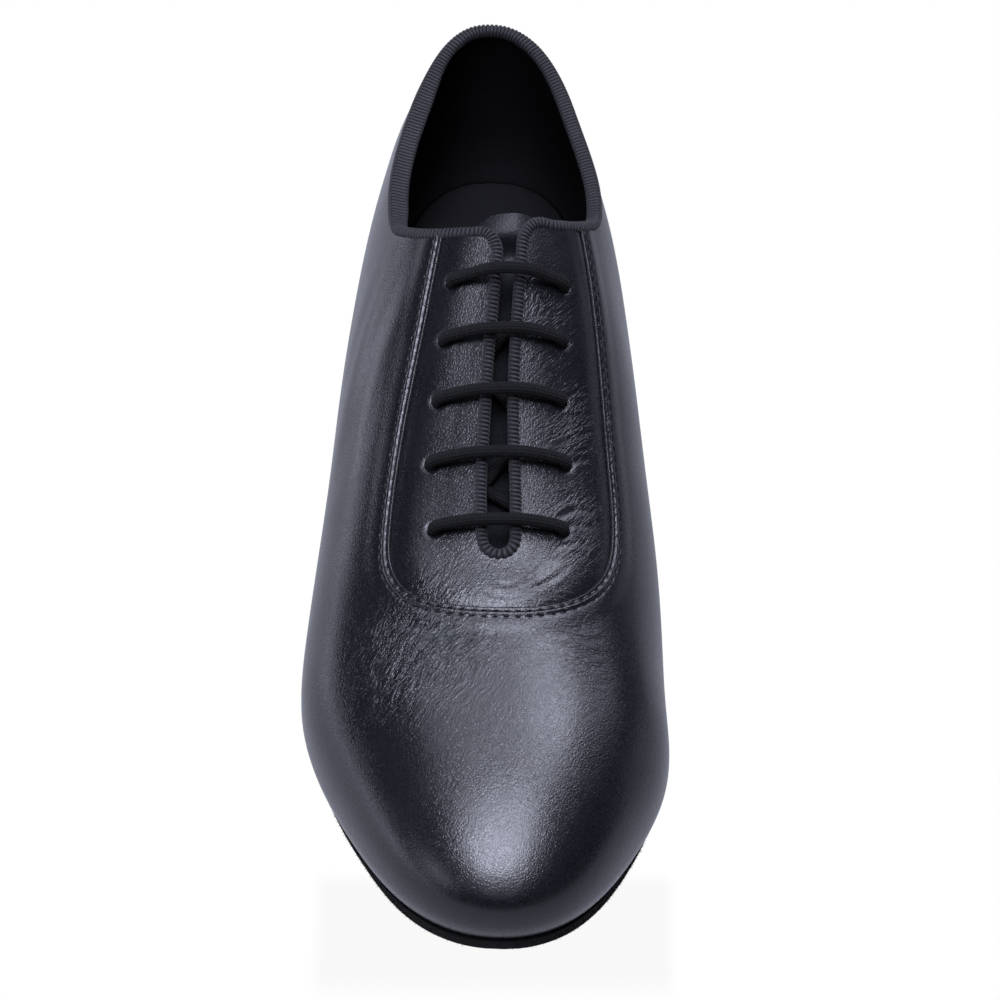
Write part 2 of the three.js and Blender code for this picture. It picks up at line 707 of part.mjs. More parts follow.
// Tongue: a leaf that follows the last at a depth under the facings
function makeTongue() {
  const drop = runs(TONGUE, "drop");
  const width = runs(TONGUE, "width");
  const rows = TONGUE_ROWS;
  const columns = TONGUE_COLUMNS;
  const full = laceDepth + laceRadius + 2 * CLEARANCE;
  const vertices = [];
  for (let i = 0; i <= rows; i += 1) {
    const at = (i / rows) ** TONGUE_ROW_POWER;
    const t = (TONGUE_TOP + (TONGUE_FOOT - TONGUE_TOP) * at) / LENGTH;
    const middle = BALL_WIDTH * throatMiddle(t);
    for (let j = 0; j <= columns; j += 1) {
      const x = middle + (TONGUE_WIDTH / 2) * width(at) * ((2 * j) / columns - 1);
      const normal = surfaceNormal(x, t);
      const top = surfacePoint(x, t).addScaledVector(normal, -full * drop(at));
      vertices.push(top, top.clone().addScaledVector(normal, -TONGUE_THICKNESS));
    }
  }
  const at = (i, j, face) => 2 * (i * (columns + 1) + j) + face;
  const polygons = [];
  for (let i = 0; i < rows; i += 1) {
    for (let j = 0; j < columns; j += 1) {
      polygons.push([at(i, j, 0), at(i + 1, j, 0), at(i + 1, j + 1, 0), at(i, j + 1, 0)]);
      polygons.push([at(i, j, 1), at(i, j + 1, 1), at(i + 1, j + 1, 1), at(i + 1, j, 1)]);
    }
    polygons.push([at(i, 0, 0), at(i, 0, 1), at(i + 1, 0, 1), at(i + 1, 0, 0)]);
    polygons.push([at(i, columns, 0), at(i + 1, columns, 0), at(i + 1, columns, 1), at(i, columns, 1)]);
  }
  for (let j = 0; j < columns; j += 1) {
    polygons.push([at(0, j, 0), at(0, j + 1, 0), at(0, j + 1, 1), at(0, j, 1)]);
    polygons.push([at(rows, j, 0), at(rows, j, 1), at(rows, j + 1, 1), at(rows, j + 1, 0)]);
  }
  return meshFrom(vertices, polygons);
}

function cordSection() {
  const shape = new THREE.Shape();
  for (let i = 0; i < LACE_SIDES; i += 1) {
    const angle = (2 * Math.PI * i) / LACE_SIDES;
    const corner = [laceRadius * Math.cos(angle), laceRadius * Math.sin(angle)];
    if (i === 0) {
      shape.moveTo(...corner);
    } else {
      shape.lineTo(...corner);
    }
  }
  shape.closePath();
  return shape;
}

function cordAlong(points, steps) {
  const path = new THREE.CatmullRomCurve3(points, false, "centripetal");
  return toSolid(new THREE.ExtrudeGeometry(cordSection(), { steps, bevelEnabled: false, extrudePath: path }));
}

function liftedPoint(x, t, height) {
  return surfacePoint(x, t).addScaledVector(surfaceNormal(x, t), height);
}

// One bar: up out of one eyelet, over the facings and the slot, and down into the other
function laceBar({ t, middle, arch, lateral, medial }) {
  const bend = laceRadius * BEND_RADII;
  const stub = laceDepth + laceRadius * STUB_RADII;
  const low = 3 * CLEARANCE + laceRadius;
  const slope = (LACE_ARCH * arch + low) / 2 + BAR_SPARE;
  const points = [];
  for (const [side, hole] of [[-1, lateral], [1, medial]]) {
    const arm = [
      liftedPoint(hole, t, -stub),
      liftedPoint(hole, t, -stub / 2),
      liftedPoint(hole, t, 0),
      liftedPoint(hole - side * bend * FIRST_BEND, t, low * FIRST_HEIGHT),
      liftedPoint(hole - side * bend, t, low),
      liftedPoint(hole - side * bend * LAST_BEND, t, low + BAR_SPARE),
      liftedPoint(middle + side * EYELET_SPREAD * SLOPE_PLACE, t, slope),
    ];
    if (side < 0) {
      points.push(...arm, liftedPoint(middle, t, LACE_ARCH * arch));
    } else {
      points.push(...arm.reverse());
    }
  }
  return cordAlong(points, BAR_STEPS);
}

function laceCrossing({ lateral, medial }) {
  const from = eyelets[medial];
  const to = eyelets[lateral];
  const points = [];
  for (let i = 0; i <= CROSSING_STEPS; i += 1) {
    const way = i / CROSSING_STEPS;
    const x = from.medial + (to.lateral - from.medial) * way;
    points.push(liftedPoint(x, from.t + (to.t - from.t) * way, -laceDepth));
  }
  return cordAlong(points, CROSSING_STEPS);
}

function makeLace() {
  const bars = eyelets.map(laceBar);
  const crossings = CROSSINGS.map(laceCrossing);
  return fromSolid([...bars, ...crossings].reduce((whole, piece) => whole.add(piece)));
}

// Finishes: colour, roughness and metalness of each material
const FINISHES = {
  leather: { color: 0x17181b, roughness: 0.38, metalness: 0 },
  binding: { color: 0x101013, roughness: 0.8, metalness: 0 },
  cord: { color: 0x0e0e10, roughness: 0.85, metalness: 0 },
  lining: { color: 0x141416, roughness: 0.7, metalness: 0 },
  suede: { color: 0x1a1918, roughness: 0.95, metalness: 0 },
  heel: { color: 0x121214, roughness: 0.45, metalness: 0 },
  rubber: { color: 0x1b1b1c, roughness: 0.9, metalness: 0 },
};

const PIECES = [
  { name: "upper", make: makeUpper, finish: "leather" },
  { name: "topline_binding", make: makeBinding, finish: "binding" },
  { name: "tongue", make: makeTongue, finish: "leather" },
  { name: "lace", make: makeLace, finish: "cord" },
  { name: "insole", make: makeInsole, finish: "lining" },
  { name: "outsole", make: makeOutsole, finish: "suede" },
  { name: "heel", make: makeHeel, finish: "heel" },
  { name: "heel_top_piece", make: makeTopPiece, finish: "rubber" },
];

const shoe = new THREE.Group();
for (const { name, make, finish } of PIECES) {
  const mesh = new THREE.Mesh(make(), new THREE.MeshStandardMaterial(FINISHES[finish]));
  mesh.name = name;
  shoe.add(mesh);
}

// The origin is under the middle of the whole shoe
const bounds = new THREE.Box3().setFromObject(shoe);
const centre = bounds.getCenter(new THREE.Vector3());
for (const mesh of shoe.children) {
  mesh.geometry.translate(-centre.x, -centre.y, 0);
}

export default shoe;
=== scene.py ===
# Fine surfaces of a right-foot latin dance shoe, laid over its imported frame
import math

import bmesh
import bpy
import numpy as np
from bpy.props import FloatProperty, FloatVectorProperty, PointerProperty
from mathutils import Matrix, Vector
from mathutils.kdtree import KDTree


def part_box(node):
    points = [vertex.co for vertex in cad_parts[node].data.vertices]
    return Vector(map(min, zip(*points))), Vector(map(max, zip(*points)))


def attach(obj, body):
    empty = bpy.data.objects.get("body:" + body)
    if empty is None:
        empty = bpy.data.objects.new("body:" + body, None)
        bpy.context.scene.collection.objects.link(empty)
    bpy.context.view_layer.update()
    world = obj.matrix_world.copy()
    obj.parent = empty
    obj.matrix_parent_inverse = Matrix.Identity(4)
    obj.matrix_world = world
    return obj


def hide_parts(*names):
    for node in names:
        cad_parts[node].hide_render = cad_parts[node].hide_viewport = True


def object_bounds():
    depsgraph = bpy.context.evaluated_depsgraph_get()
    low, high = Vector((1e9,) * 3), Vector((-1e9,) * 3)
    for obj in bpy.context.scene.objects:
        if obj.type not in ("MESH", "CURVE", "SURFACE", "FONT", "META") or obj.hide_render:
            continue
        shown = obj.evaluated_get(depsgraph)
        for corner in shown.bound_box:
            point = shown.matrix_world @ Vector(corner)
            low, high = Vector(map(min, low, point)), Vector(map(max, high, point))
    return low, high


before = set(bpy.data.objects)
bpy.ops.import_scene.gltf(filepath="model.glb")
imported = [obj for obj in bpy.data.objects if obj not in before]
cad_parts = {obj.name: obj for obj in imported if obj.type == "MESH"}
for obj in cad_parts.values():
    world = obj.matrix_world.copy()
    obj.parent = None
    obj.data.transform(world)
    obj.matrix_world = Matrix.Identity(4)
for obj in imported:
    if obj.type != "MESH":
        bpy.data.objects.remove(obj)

bl_info = {
    "name": "Latin Dance Shoe",
    "version": (1, 0, 0),
    "blender": (4, 5, 0),
    "location": "View3D > Sidebar > Dance Shoe",
    "description": "Builds the leather, tape, cord and suede of a latin dance shoe",
    "category": "Object",
}

CAD_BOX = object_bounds()
CAD_SIZE = CAD_BOX[1] - CAD_BOX[0]
MM = 0.001
LATERAL = -1
MEDIAL = 1


def table(columns, *rows):
    """Rows of a short table under named columns."""
    names = columns.split()
    return [dict(zip(names, row)) for row in rows]


# Cross sections of the last, heel to toe: at is a share of the length, arch of the heel height,
# lateral, medial and axis of the ball width, crest and widest of the instep height, full is the
# power of the curve over the top, seats are the shares of the width that the sole keeps
SECTIONS = table(
    "at arch lateral medial axis crest widest full seat_lateral seat_medial",
    (0.0, 1.0, 0.272, 0.27, -0.027, 1.146, 0.183, 1.81, 0.93, 0.93),
    (0.08, 0.984, 0.324, 0.265, 0.001, 1.153, 0.183, 1.77, 0.92, 0.92),
    (0.16, 0.94, 0.385, 0.276, 0.024, 1.188, 0.192, 1.83, 0.91, 0.9),
    (0.24, 0.855, 0.445, 0.303, 0.045, 1.176, 0.202, 1.88, 0.86, 0.83),
    (0.32, 0.694, 0.481, 0.335, 0.047, 1.119, 0.212, 1.82, 0.79, 0.73),
    (0.4, 0.5, 0.501, 0.366, 0.041, 1.0, 0.212, 2.0, 0.76, 0.64),
    (0.48, 0.311, 0.519, 0.398, 0.035, 0.865, 0.202, 2.0, 0.78, 0.64),
    (0.56, 0.145, 0.542, 0.428, 0.03, 0.74, 0.183, 2.05, 0.86, 0.76),
    (0.64, 0.031, 0.56, 0.447, 0.023, 0.639, 0.163, 2.15, 0.91, 0.88),
    (0.72, -0.01, 0.562, 0.459, 0.018, 0.558, 0.149, 2.25, 0.915, 0.91),
    (0.8, 0.0, 0.523, 0.466, 0.018, 0.495, 0.135, 2.3, 0.915, 0.91),
    (0.88, 0.0, 0.475, 0.437, 0.02, 0.447, 0.115, 2.35, 0.915, 0.91),
    (0.94, 0.0, 0.454, 0.42, 0.023, 0.413, 0.101, 2.4, 0.93, 0.925),
    (1.0, 0.0, 0.435, 0.421, 0.026, 0.38, 0.091, 2.4, 0.945, 0.935),
)

# Height of the topline edge, as shares of the length and of the back height
TOPLINE = table(
    "at height",
    (0.0, 1.0), (0.1, 0.966), (0.2, 0.94), (0.275, 0.926), (0.3, 0.937),
    (0.318, 0.97), (0.337, 1.012), (0.354, 1.06), (0.382, 1.15),
)

# Throat slot, as shares of the length, of the ball width and of the widest gap
THROAT = table(
    "at middle gap",
    (0.36, 0.04, 0.66), (0.42, 0.026, 0.68), (0.48, 0.012, 0.74),
    (0.54, 0.006, 0.84), (0.59, 0.005, 1.0), (0.65, 0.008, 0.98),
)

# Eyelet pairs from the toe end up: back is a share of the throat length, spread of the eyelet spread
EYELETS = table(
    "back spread arch",
    (0.095, 1.06, 1.0), (0.32, 1.11, 1.0), (0.519, 1.02, 1.0), (0.703, 0.98, 1.05), (0.877, 0.93, 1.7),
)

# Crossings under the facings, as eyelet rows on the medial and the lateral side
CROSSINGS = table("medial lateral", (0, 1), (2, 0), (1, 3), (4, 2))

# Tongue: at is a share of its length from the top, drop of its depth, width of its full width
TONGUE = table(
    "at drop width",
    (0.0, 0.52, 0.3), (0.025, 0.52, 0.6), (0.06, 0.56, 0.78), (0.1, 1.0, 0.88), (0.2, 1.0, 0.96),
    (0.5, 1.0, 1.0), (0.83, 1.0, 0.98), (0.92, 0.5, 0.92), (1.0, 0.38, 0.84),
)

# Inner stitch row of the facing seam, lateral top round the vamp to medial top, as shares of the
# ball width across and of the length along
SEAM = table(
    "across along",
    (-0.152, 0.335), (-0.166, 0.3576), (-0.212, 0.433), (-0.254, 0.4965), (-0.286, 0.559),
    (-0.303, 0.6146), (-0.298, 0.6562), (-0.246, 0.6896), (-0.14, 0.709), (0.0, 0.7153),
    (0.14, 0.7111), (0.252, 0.6882), (0.314, 0.651), (0.33, 0.6007), (0.316, 0.5347),
    (0.298, 0.4653), (0.274, 0.393), (0.252, 0.3472), (0.236, 0.322),
)

# Where the leather's grain lines run: share of the way along the seam or throat, and of the way
# along the line that they reach
VAMP_SPREAD = table(
    "at reach", (0.0, 0.0), (0.3, 0.2), (0.6, 0.4), (0.7, 0.505), (0.79, 0.655), (0.89, 0.805), (1.0, 1.0),
)
FACING_SPREAD = table(
    "at reach",
    (0.0, 0.0), (0.12, 0.05), (0.26, 0.14), (0.5, 0.37), (0.8, 0.67), (0.9, 0.8), (0.95, 0.89), (1.0, 1.0),
)


def measure(name, description, default):
    return FloatProperty(name=name, description=description, default=default, unit="LENGTH")


def tint(name, description, *default):
    return FloatVectorProperty(name=name, description=description, default=default, subtype="COLOR", size=3)


class ShoeSizes(bpy.types.PropertyGroup):
    """Sizes of the last and of what is laid over it."""

    length: measure("Length", "Heel back to toe tip", CAD_SIZE.y)
    ball_width: measure("Ball width", "Width of the last that shares refer to", 100 * MM)
    instep_height: measure("Instep height", "Height of the last's instep", 104 * MM)
    back_height: measure("Back height", "Top of the heel back above the floor", 103 * MM)
    heel_height: measure("Heel height", "Seat of the heel above the floor", 38.6 * MM)
    upper_wall: measure("Upper wall", "Leather and lining together", 2 * MM)
    vamp_lap: measure("Vamp lap", "Height of the folded vamp edge on the facing", 0.75 * MM)
    stitch_pitch: measure("Stitch pitch", "One stitch to the next", 3.1 * MM)
    rib_pitch: measure("Rib pitch", "One rib of the binding to the next", 1.25 * MM)
    lace_diameter: measure("Lace diameter", "Thickness of the round lace", 3.5 * MM)
    sole_thickness: measure("Sole thickness", "Suede outsole", 3.5 * MM)
    heel_length: measure("Heel length", "Heel back to breast", 62 * MM)


class ShoeColours(bpy.types.PropertyGroup):
    """Colours of the finishes and how glossy the leather is."""

    leather: tint("Leather", "Upper, facings and tongue", 0.0105, 0.011, 0.0135)
    lining: tint("Lining", "Lining and insole", 0.006, 0.006, 0.007)
    tape: tint("Binding tape", "Ribbed topline tape", 0.009, 0.009, 0.011)
    cord: tint("Lace cord", "Braided lace", 0.003, 0.003, 0.0035)
    thread: tint("Thread", "Seam stitches", 0.006, 0.006, 0.0075)
    suede: tint("Sole suede", "Napped sole leather", 0.006, 0.006, 0.0065)
    rubber: tint("Top piece", "Heel top piece", 0.012, 0.012, 0.0125)
    leather_gloss: FloatProperty(name="Leather gloss", description="Coat over the leather",
                                 default=0.25, min=0, max=1, subtype="FACTOR")


def sizes():
    return bpy.context.scene.dance_shoe_sizes


def colours():
    return bpy.context.scene.dance_shoe_colours


# Curves and paths

def spline(rows, column):
    """Natural cubic through one column of a table, for a number or an array."""
    at = np.array([row["at"] for row in rows])
    return natural_cubic(at, np.array([row[column] for row in rows], float))


def natural_cubic(at, value):
    step = np.diff(at)
    count = len(at)
    matrix = np.eye(count)
    bend = np.zeros(count)
    for i in range(1, count - 1):
        matrix[i, i - 1:i + 2] = step[i - 1], 2 * (step[i - 1] + step[i]), step[i]
        bend[i] = 3 * ((value[i + 1] - value[i]) / step[i] - (value[i] - value[i - 1]) / step[i - 1])
    second = np.linalg.solve(matrix, bend)

    def curve(t):
        t = np.asarray(t, float)
        i = np.clip(np.searchsorted(at, t, side="right") - 1, 0, count - 2)
        d = t - at[i]
        slope = (value[i + 1] - value[i]) / step[i] - step[i] * (2 * second[i] + second[i + 1]) / 3
        cubic = (second[i + 1] - second[i]) / (3 * step[i])
        return value[i] + slope * d + second[i] * d**2 + cubic * d**3

    return curve


def straight(rows, column):
    at = [row["at"] for row in rows]
    value = [row[column] for row in rows]
    return lambda t: np.interp(t, at, value)


def run_of(path):
    """Distance along a path of points, from its start."""
    return np.concatenate([[0.0], np.cumsum(np.linalg.norm(np.diff(path, axis=0), axis=1))])


def points_at(path, distances):
    run = run_of(path)
    return np.stack([np.interp(distances, run, path[:, i]) for i in range(path.shape[1])], -1)


def smooth_path(points, count):
    """Even points on a smooth curve through a few chosen ones."""
    points = np.asarray(points, float)
    run = run_of(points)
    fine = np.linspace(0, run[-1], 8 * count)
    path = np.stack([natural_cubic(run, points[:, i])(fine) for i in range(points.shape[1])], -1)
    return points_at(path, np.linspace(0, run_of(path)[-1], count))


def smoothstep(low, high, value):
    x = np.clip((value - low) / (high - low), 0, 1)
    return x * x * (3 - 2 * x)


def hump(distance, width):
    return np.exp(-(distance / width) ** 2)


def unit(vectors):
    return vectors / np.maximum(np.linalg.norm(vectors, axis=-1, keepdims=True), 1e-12)


class Last:
    """Form of the foot that every piece follows. t runs from 0 at the heel back to 1 at the toe."""

    TOE_SPRING = 8 * MM
    HEEL_CURVE = 36 * MM
    TOE_CURVE = {LATERAL: 82.4 * MM, MEDIAL: 69 * MM}
    TOE_POWER = {LATERAL: 2.23, MEDIAL: 2.04}
    TOE_DROP = 57.6 * MM
    TOE_DROP_POWER = 2.5
    BACK_LEAN = 4.5 * MM
    LEAN_REACH = 0.25
    TREAD_FLAT_TO = 0.78
    SPRING_POWER = 1.7
    HEEL_CURVE_POWER = 2.3
    SOLE_INSET_HEEL = 3 * MM
    SOLE_INSET_TOE = 2.5 * MM
    FEATHER_INSET = 0.8 * MM
    TUCK_POWER = 2.2
    CLEARANCE = 0.3 * MM
    THROAT_LENGTH = 83 * MM
    THROAT_END = 189 * MM
    THROAT_GAP = 8 * MM
    FACING_CORNER = 8 * MM
    TOPLINE_SKEW = 0.08
    EYELET_SPREAD = 17 * MM

    def __init__(self):
        s = sizes()
        self.length = s.length
        self.width = s.ball_width
        self.instep = s.instep_height
        self.back = s.back_height
        self.heel = s.heel_height
        self.sole = s.sole_thickness
        self.column = {name: spline(SECTIONS, name) for name in SECTIONS[0] if name != "at"}
        self.topline = spline(TOPLINE, "height")
        self.middle = spline(THROAT, "middle")
        self.gap = spline(THROAT, "gap")
        self.shift = 0.0
        edge = np.concatenate([self.sole_edge(np.linspace(0, 1, 400), side)[0] for side in (LATERAL, MEDIAL)])
        low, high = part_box("outsole")
        self.shift = (low.x + high.x) / 2 - (edge.min() + edge.max()) / 2

    def round_end(self, distance, reach, power):
        u = np.clip(1 - distance / reach, 0, 1)
        return (1 - u**power) ** (1 / power)

    def underside(self, t):
        arch = np.where(t < 0.72, np.maximum(0, self.column["arch"](t)), 0)
        spring = np.clip((t - self.TREAD_FLAT_TO) / (1 - self.TREAD_FLAT_TO), 0, None) ** self.SPRING_POWER
        return self.heel * arch + self.TOE_SPRING * spring

    def seat(self, t):
        return self.underside(t) + self.sole

    def widest(self, t):
        return self.seat(t) + self.instep * self.column["widest"](t)

    def rise(self, t):
        drop = self.round_end((1 - t) * self.length, self.TOE_DROP, self.TOE_DROP_POWER)
        return (self.instep * self.column["crest"](t) - self.widest(t)) * drop

    def end_rounding(self, t, side):
        heel = self.round_end(t * self.length, self.HEEL_CURVE, self.HEEL_CURVE_POWER)
        toe = [self.round_end((1 - t) * self.length, self.TOE_CURVE[way], self.TOE_POWER[way])
               for way in (LATERAL, MEDIAL)]
        return heel * np.where(np.asarray(side) > 0, toe[1], toe[0])

    def full_width(self, t, side):
        share = np.where(np.asarray(side) > 0, self.column["medial"](t), self.column["lateral"](t))
        return self.width * share

    def half(self, t, side):
        return self.full_width(t, side) * self.end_rounding(t, side)

    def axis(self, t):
        return self.width * self.column["axis"](t) + self.shift

    def place_y(self, t, z):
        fade = smoothstep(0, self.LEAN_REACH, self.LEAN_REACH - t)
        over = (z - self.heel - 0.2 * self.instep) / (0.42 * self.instep)
        return (0.5 - t) * self.length - self.BACK_LEAN * fade * over**2

    def share_at(self, y):
        return 0.5 - y / self.length

    def point(self, x, t):
        """Point of the last's upper surface over a plan place."""
        x, t = np.broadcast_arrays(np.asarray(x, float), np.asarray(t, float))
        side = np.where(x > self.axis(t), MEDIAL, LATERAL)
        share = np.minimum(1, np.abs(x - self.axis(t)) / np.maximum(self.half(t, side), 1e-9))
        power = self.column["full"](t)
        z = self.widest(t) + self.rise(t) * (1 - share**power) ** (1 / power)
        return np.stack([x, self.place_y(t, z), z], -1)

    def normal(self, x, t):
        step = 0.0015
        across = self.point(x + step * self.length, t) - self.point(x - step * self.length, t)
        along = self.point(x, t + step) - self.point(x, t - step)
        normal = unit(np.cross(along, across))
        return np.where(normal[..., 2:] < 0, -normal, normal)

    def lifted(self, x, t, height):
        return self.point(x, t) + self.normal(x, t) * np.asarray(height)[..., None]

    def sole_edge(self, u, side, inset=0.0):
        """Outline of the sole on one side, u from heel to toe, moved inwards by inset."""
        u = np.asarray(u, float)

        def place(share):
            s = np.where(share > 1, 2 - share, np.abs(share))
            way = np.where((share > 1) | (share < 0), -side, side)
            room = self.length - self.SOLE_INSET_HEEL - self.SOLE_INSET_TOE
            t = (self.SOLE_INSET_HEEL + s * room) / self.length
            seat = np.where(way > 0, self.column["seat_medial"](t), self.column["seat_lateral"](t))
            x = self.axis(t) + way * self.full_width(t, way) * seat * self.end_rounding(s, way)
            return x, (0.5 - t) * self.length

        step = 0.002
        x, y = place(u)
        x_next, y_next = place(u + step)
        x_last, y_last = place(u - step)
        length = np.hypot(x_next - x_last, y_next - y_last)
        return x + side * inset * (y_next - y_last) / length, y - side * inset * (x_next - x_last) / length

    def crest_share(self, t, side):
        """Share of the half width at which the topline crosses a section."""
        skew = self.TOPLINE_SKEW * side * self.half(t, side) / self.length / 2
        share = np.maximum(0, (self.back * self.topline(t + skew) - self.widest(t)) / self.rise(t))
        power = self.column["full"](t)
        return np.where(share >= 1, 0, (1 - np.minimum(share, 1) ** power) ** (1 / power))

    def eyelet_row(self, row):
        """Share of the length at which a pair of eyelets lies, and the place midway between them."""
        t = (self.THROAT_END - row["back"] * self.THROAT_LENGTH) / self.length
        return t, self.width * self.middle(t) + self.shift

    def throat_side(self, t, side):
        return self.width * self.middle(t) + side * self.THROAT_GAP * self.gap(t) / 2 + self.shift

    def rim(self, side):
        """Edge of the opening on one side, heel back to throat end, as plan places x, t."""
        t = np.linspace(0.3, 0.4, 4001)
        collar_x = self.axis(t) + side * self.half(t, side) * self.crest_share(t, side)
        corner_x = self.throat_side(t, side) + side * self.FACING_CORNER
        meets = (self.crest_share(t, side) <= 0) | (side * (collar_x - corner_x) <= 0)
        front = t[np.argmax(meets)]
        t = front * np.maximum(1e-7, np.linspace(0, 1, 900) ** 2)
        collar = np.stack([self.axis(t) + side * self.half(t, side) * self.crest_share(t, side), t], -1)
        turn = np.linspace(0, math.pi / 2, 40)[1:]
        top = (0.5 - front) * self.length
        t = self.share_at(top - self.FACING_CORNER * (1 - np.cos(turn)))
        x = self.throat_side(t, side) + side * self.FACING_CORNER * (1 - np.sin(turn))
        corner = np.stack([x, t], -1)
        end_share = self.THROAT_END / self.length
        radius = self.THROAT_GAP * self.gap(end_share) / 2
        t = np.linspace(corner[-1, 1], end_share - radius / self.length, 200)[1:]
        edge = np.stack([self.throat_side(t, side), t], -1)
        turn = np.linspace(0, math.pi / 2, 30)[1:]
        t = edge[-1, 1] + radius * np.sin(turn) / self.length
        x = self.width * self.middle(t) + side * radius * np.cos(turn) + self.shift
        end = np.stack([x, t], -1)
        return np.concatenate([collar, corner, edge, end]), front


class Pattern:
    """Edges of the cut leather on the last: the rim of the opening and the facing seam."""

    EDGE_BEFORE_STITCH = 0.9 * MM
    ROWS_APART = 1.9 * MM
    SEAM_POINTS = 1200

    def __init__(self, last):
        self.last = last
        self.rim = {}
        self.corner = {}
        for side in (LATERAL, MEDIAL):
            rim, front = last.rim(side)
            self.rim[side] = rim
            self.corner[side] = front
        plan = [(row["across"] * last.width + last.shift, (0.5 - row["along"]) * last.length)
                for row in SEAM]
        stitch = smooth_path(plan, self.SEAM_POINTS)
        self.stitch = np.stack([stitch[:, 0], last.share_at(stitch[:, 1])], -1)
        self.edge = self.beside(self.stitch, -self.EDGE_BEFORE_STITCH)
        self.joins = {side: self.join(side) for side in (LATERAL, MEDIAL)}

    def beside(self, path, distance):
        """Plan path at a distance on the leather from another, positive away from the throat."""
        points = self.last.point(path[:, 0], path[:, 1])
        normal = self.last.normal(path[:, 0], path[:, 1])
        away = unit(np.cross(np.gradient(points, axis=0), normal))
        middle = len(path) // 2
        if away[middle, 1] > 0:
            away = -away
        moved = points + away * distance
        return np.stack([moved[:, 0], self.last.share_at(moved[:, 1])], -1)

    def join(self, side):
        """Indices of the rim and the seam edge where they cross."""
        scale = np.array([1, self.last.length])
        rim = self.rim[side] * scale
        half = len(self.edge) // 2
        part = slice(0, half) if side == LATERAL else slice(half, None)
        edge = self.edge[part] * scale
        from_index = np.argmax(self.rim[side][:, 1] > 0.3)
        gaps = np.linalg.norm(rim[from_index:, None] - edge[None], axis=-1)
        i, j = np.unravel_index(np.argmin(gaps), gaps.shape)
        return i + from_index, j + (0 if side == LATERAL else half)

    def seam_points(self, path):
        first, last_index = self.joins[LATERAL][1], self.joins[MEDIAL][1]
        part = path[first:last_index + 1]
        return self.last.point(part[:, 0], part[:, 1])


# Meshes

def grid_mesh(name, grid, closed=False, outward=None):
    """Quads between the lines of a grid of points, lines by rows."""
    lines, rows = grid.shape[:2]
    first = np.arange(lines if closed else lines - 1)
    k, i = np.meshgrid(first, np.arange(rows - 1), indexing="ij")
    after = (k + 1) % lines
    here, there = k * rows + i, after * rows + i
    quads = np.stack([here, here + 1, there + 1, there], -1).reshape(-1, 4)
    points = grid.reshape(-1, 3)
    if outward is not None:
        a, b, c, d = (points[quads[:, j]] for j in range(4))
        if np.sum(np.cross(c - a, d - b) * outward(points[quads].mean(1))) < 0:
            quads = quads[:, ::-1]
    return plain_mesh(name, points, quads)


def plain_mesh(name, points, faces):
    """Object of points and equal-sided faces, with no doubled points and smooth shading."""
    mesh = bpy.data.meshes.new(name)
    points = np.asarray(points, float)
    faces = np.asarray(faces)
    sides = faces.shape[1]
    mesh.vertices.add(len(points))
    mesh.vertices.foreach_set("co", points.ravel())
    mesh.loops.add(faces.size)
    mesh.loops.foreach_set("vertex_index", faces.ravel())
    mesh.polygons.add(len(faces))
    mesh.polygons.foreach_set("loop_start", np.arange(0, faces.size, sides))
    mesh.polygons.foreach_set("use_smooth", np.ones(len(faces), bool))
    mesh.update(calc_edges=True)
    mesh.validate()
    piece = bpy.data.objects.new(name, mesh)
    bpy.context.scene.collection.objects.link(piece)
    return piece


def add_attribute(piece, name, values):
    layer = piece.data.attributes.new(name, "FLOAT", "POINT")
    layer.data.foreach_set("value", np.asarray(values, float).ravel())


def add_uv(piece, across, along):
    """UV map from one pair of values for each vertex."""
    layer = piece.data.uv_layers.new(name="UVMap")
    index = np.zeros(len(piece.data.loops), int)
    piece.data.loops.foreach_get("vertex_index", index)
    pairs = np.stack([np.ravel(across)[index], np.ravel(along)[index]], -1)
    layer.data.foreach_set("uv", pairs.ravel())


def only(piece):
    """Deselects everything, then selects one piece and makes it active."""
    bpy.ops.object.select_all(action="DESELECT")
    piece.select_set(True)
    bpy.context.view_layer.objects.active = piece


def apply_modifier(piece, kind, **values):
    only(piece)
    modifier = piece.modifiers.new(kind.title(), kind)
    for key, value in values.items():
        setattr(modifier, key, value)
    bpy.ops.object.modifier_apply(modifier=modifier.name)


def weld(piece, distance=1e-5):
    """Closes poles and doubled points."""
    shape = bmesh.new()
    shape.from_mesh(piece.data)
    bmesh.ops.remove_doubles(shape, verts=shape.verts, dist=distance)
    bmesh.ops.dissolve_degenerate(shape, edges=shape.edges, dist=1e-7)
    shape.to_mesh(piece.data)
    shape.free()


def close_holes(piece):
    """Caps any open edge loop."""
    shape = bmesh.new()
    shape.from_mesh(piece.data)
    rims = [edge for edge in shape.edges if edge.is_boundary]
    if rims:
        bmesh.ops.holes_fill(shape, edges=rims, sides=0)
    shape.to_mesh(piece.data)
    shape.free()


def outward_normals(piece):
    only(piece)
    bpy.ops.object.mode_set(mode="EDIT")
    bpy.ops.mesh.select_all(action="SELECT")
    bpy.ops.mesh.normals_make_consistent(inside=False)
    bpy.ops.object.mode_set(mode="OBJECT")


def finish_piece(piece, material, slot, *nodes):
    piece.data.materials.clear()
    piece.data.materials.append(material)
    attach(piece, "root")
    if nodes:
        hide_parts(*nodes)
    return piece


def joined(pieces, name):
    bpy.ops.object.select_all(action="DESELECT")
    for piece in pieces:
        piece.select_set(True)
    bpy.context.view_layer.objects.active = pieces[0]
    if len(pieces) > 1:
        bpy.ops.object.join()
    whole = bpy.context.view_layer.objects.active
    whole.name = name
    whole.data.name = name
    return whole


# Leather surfaces

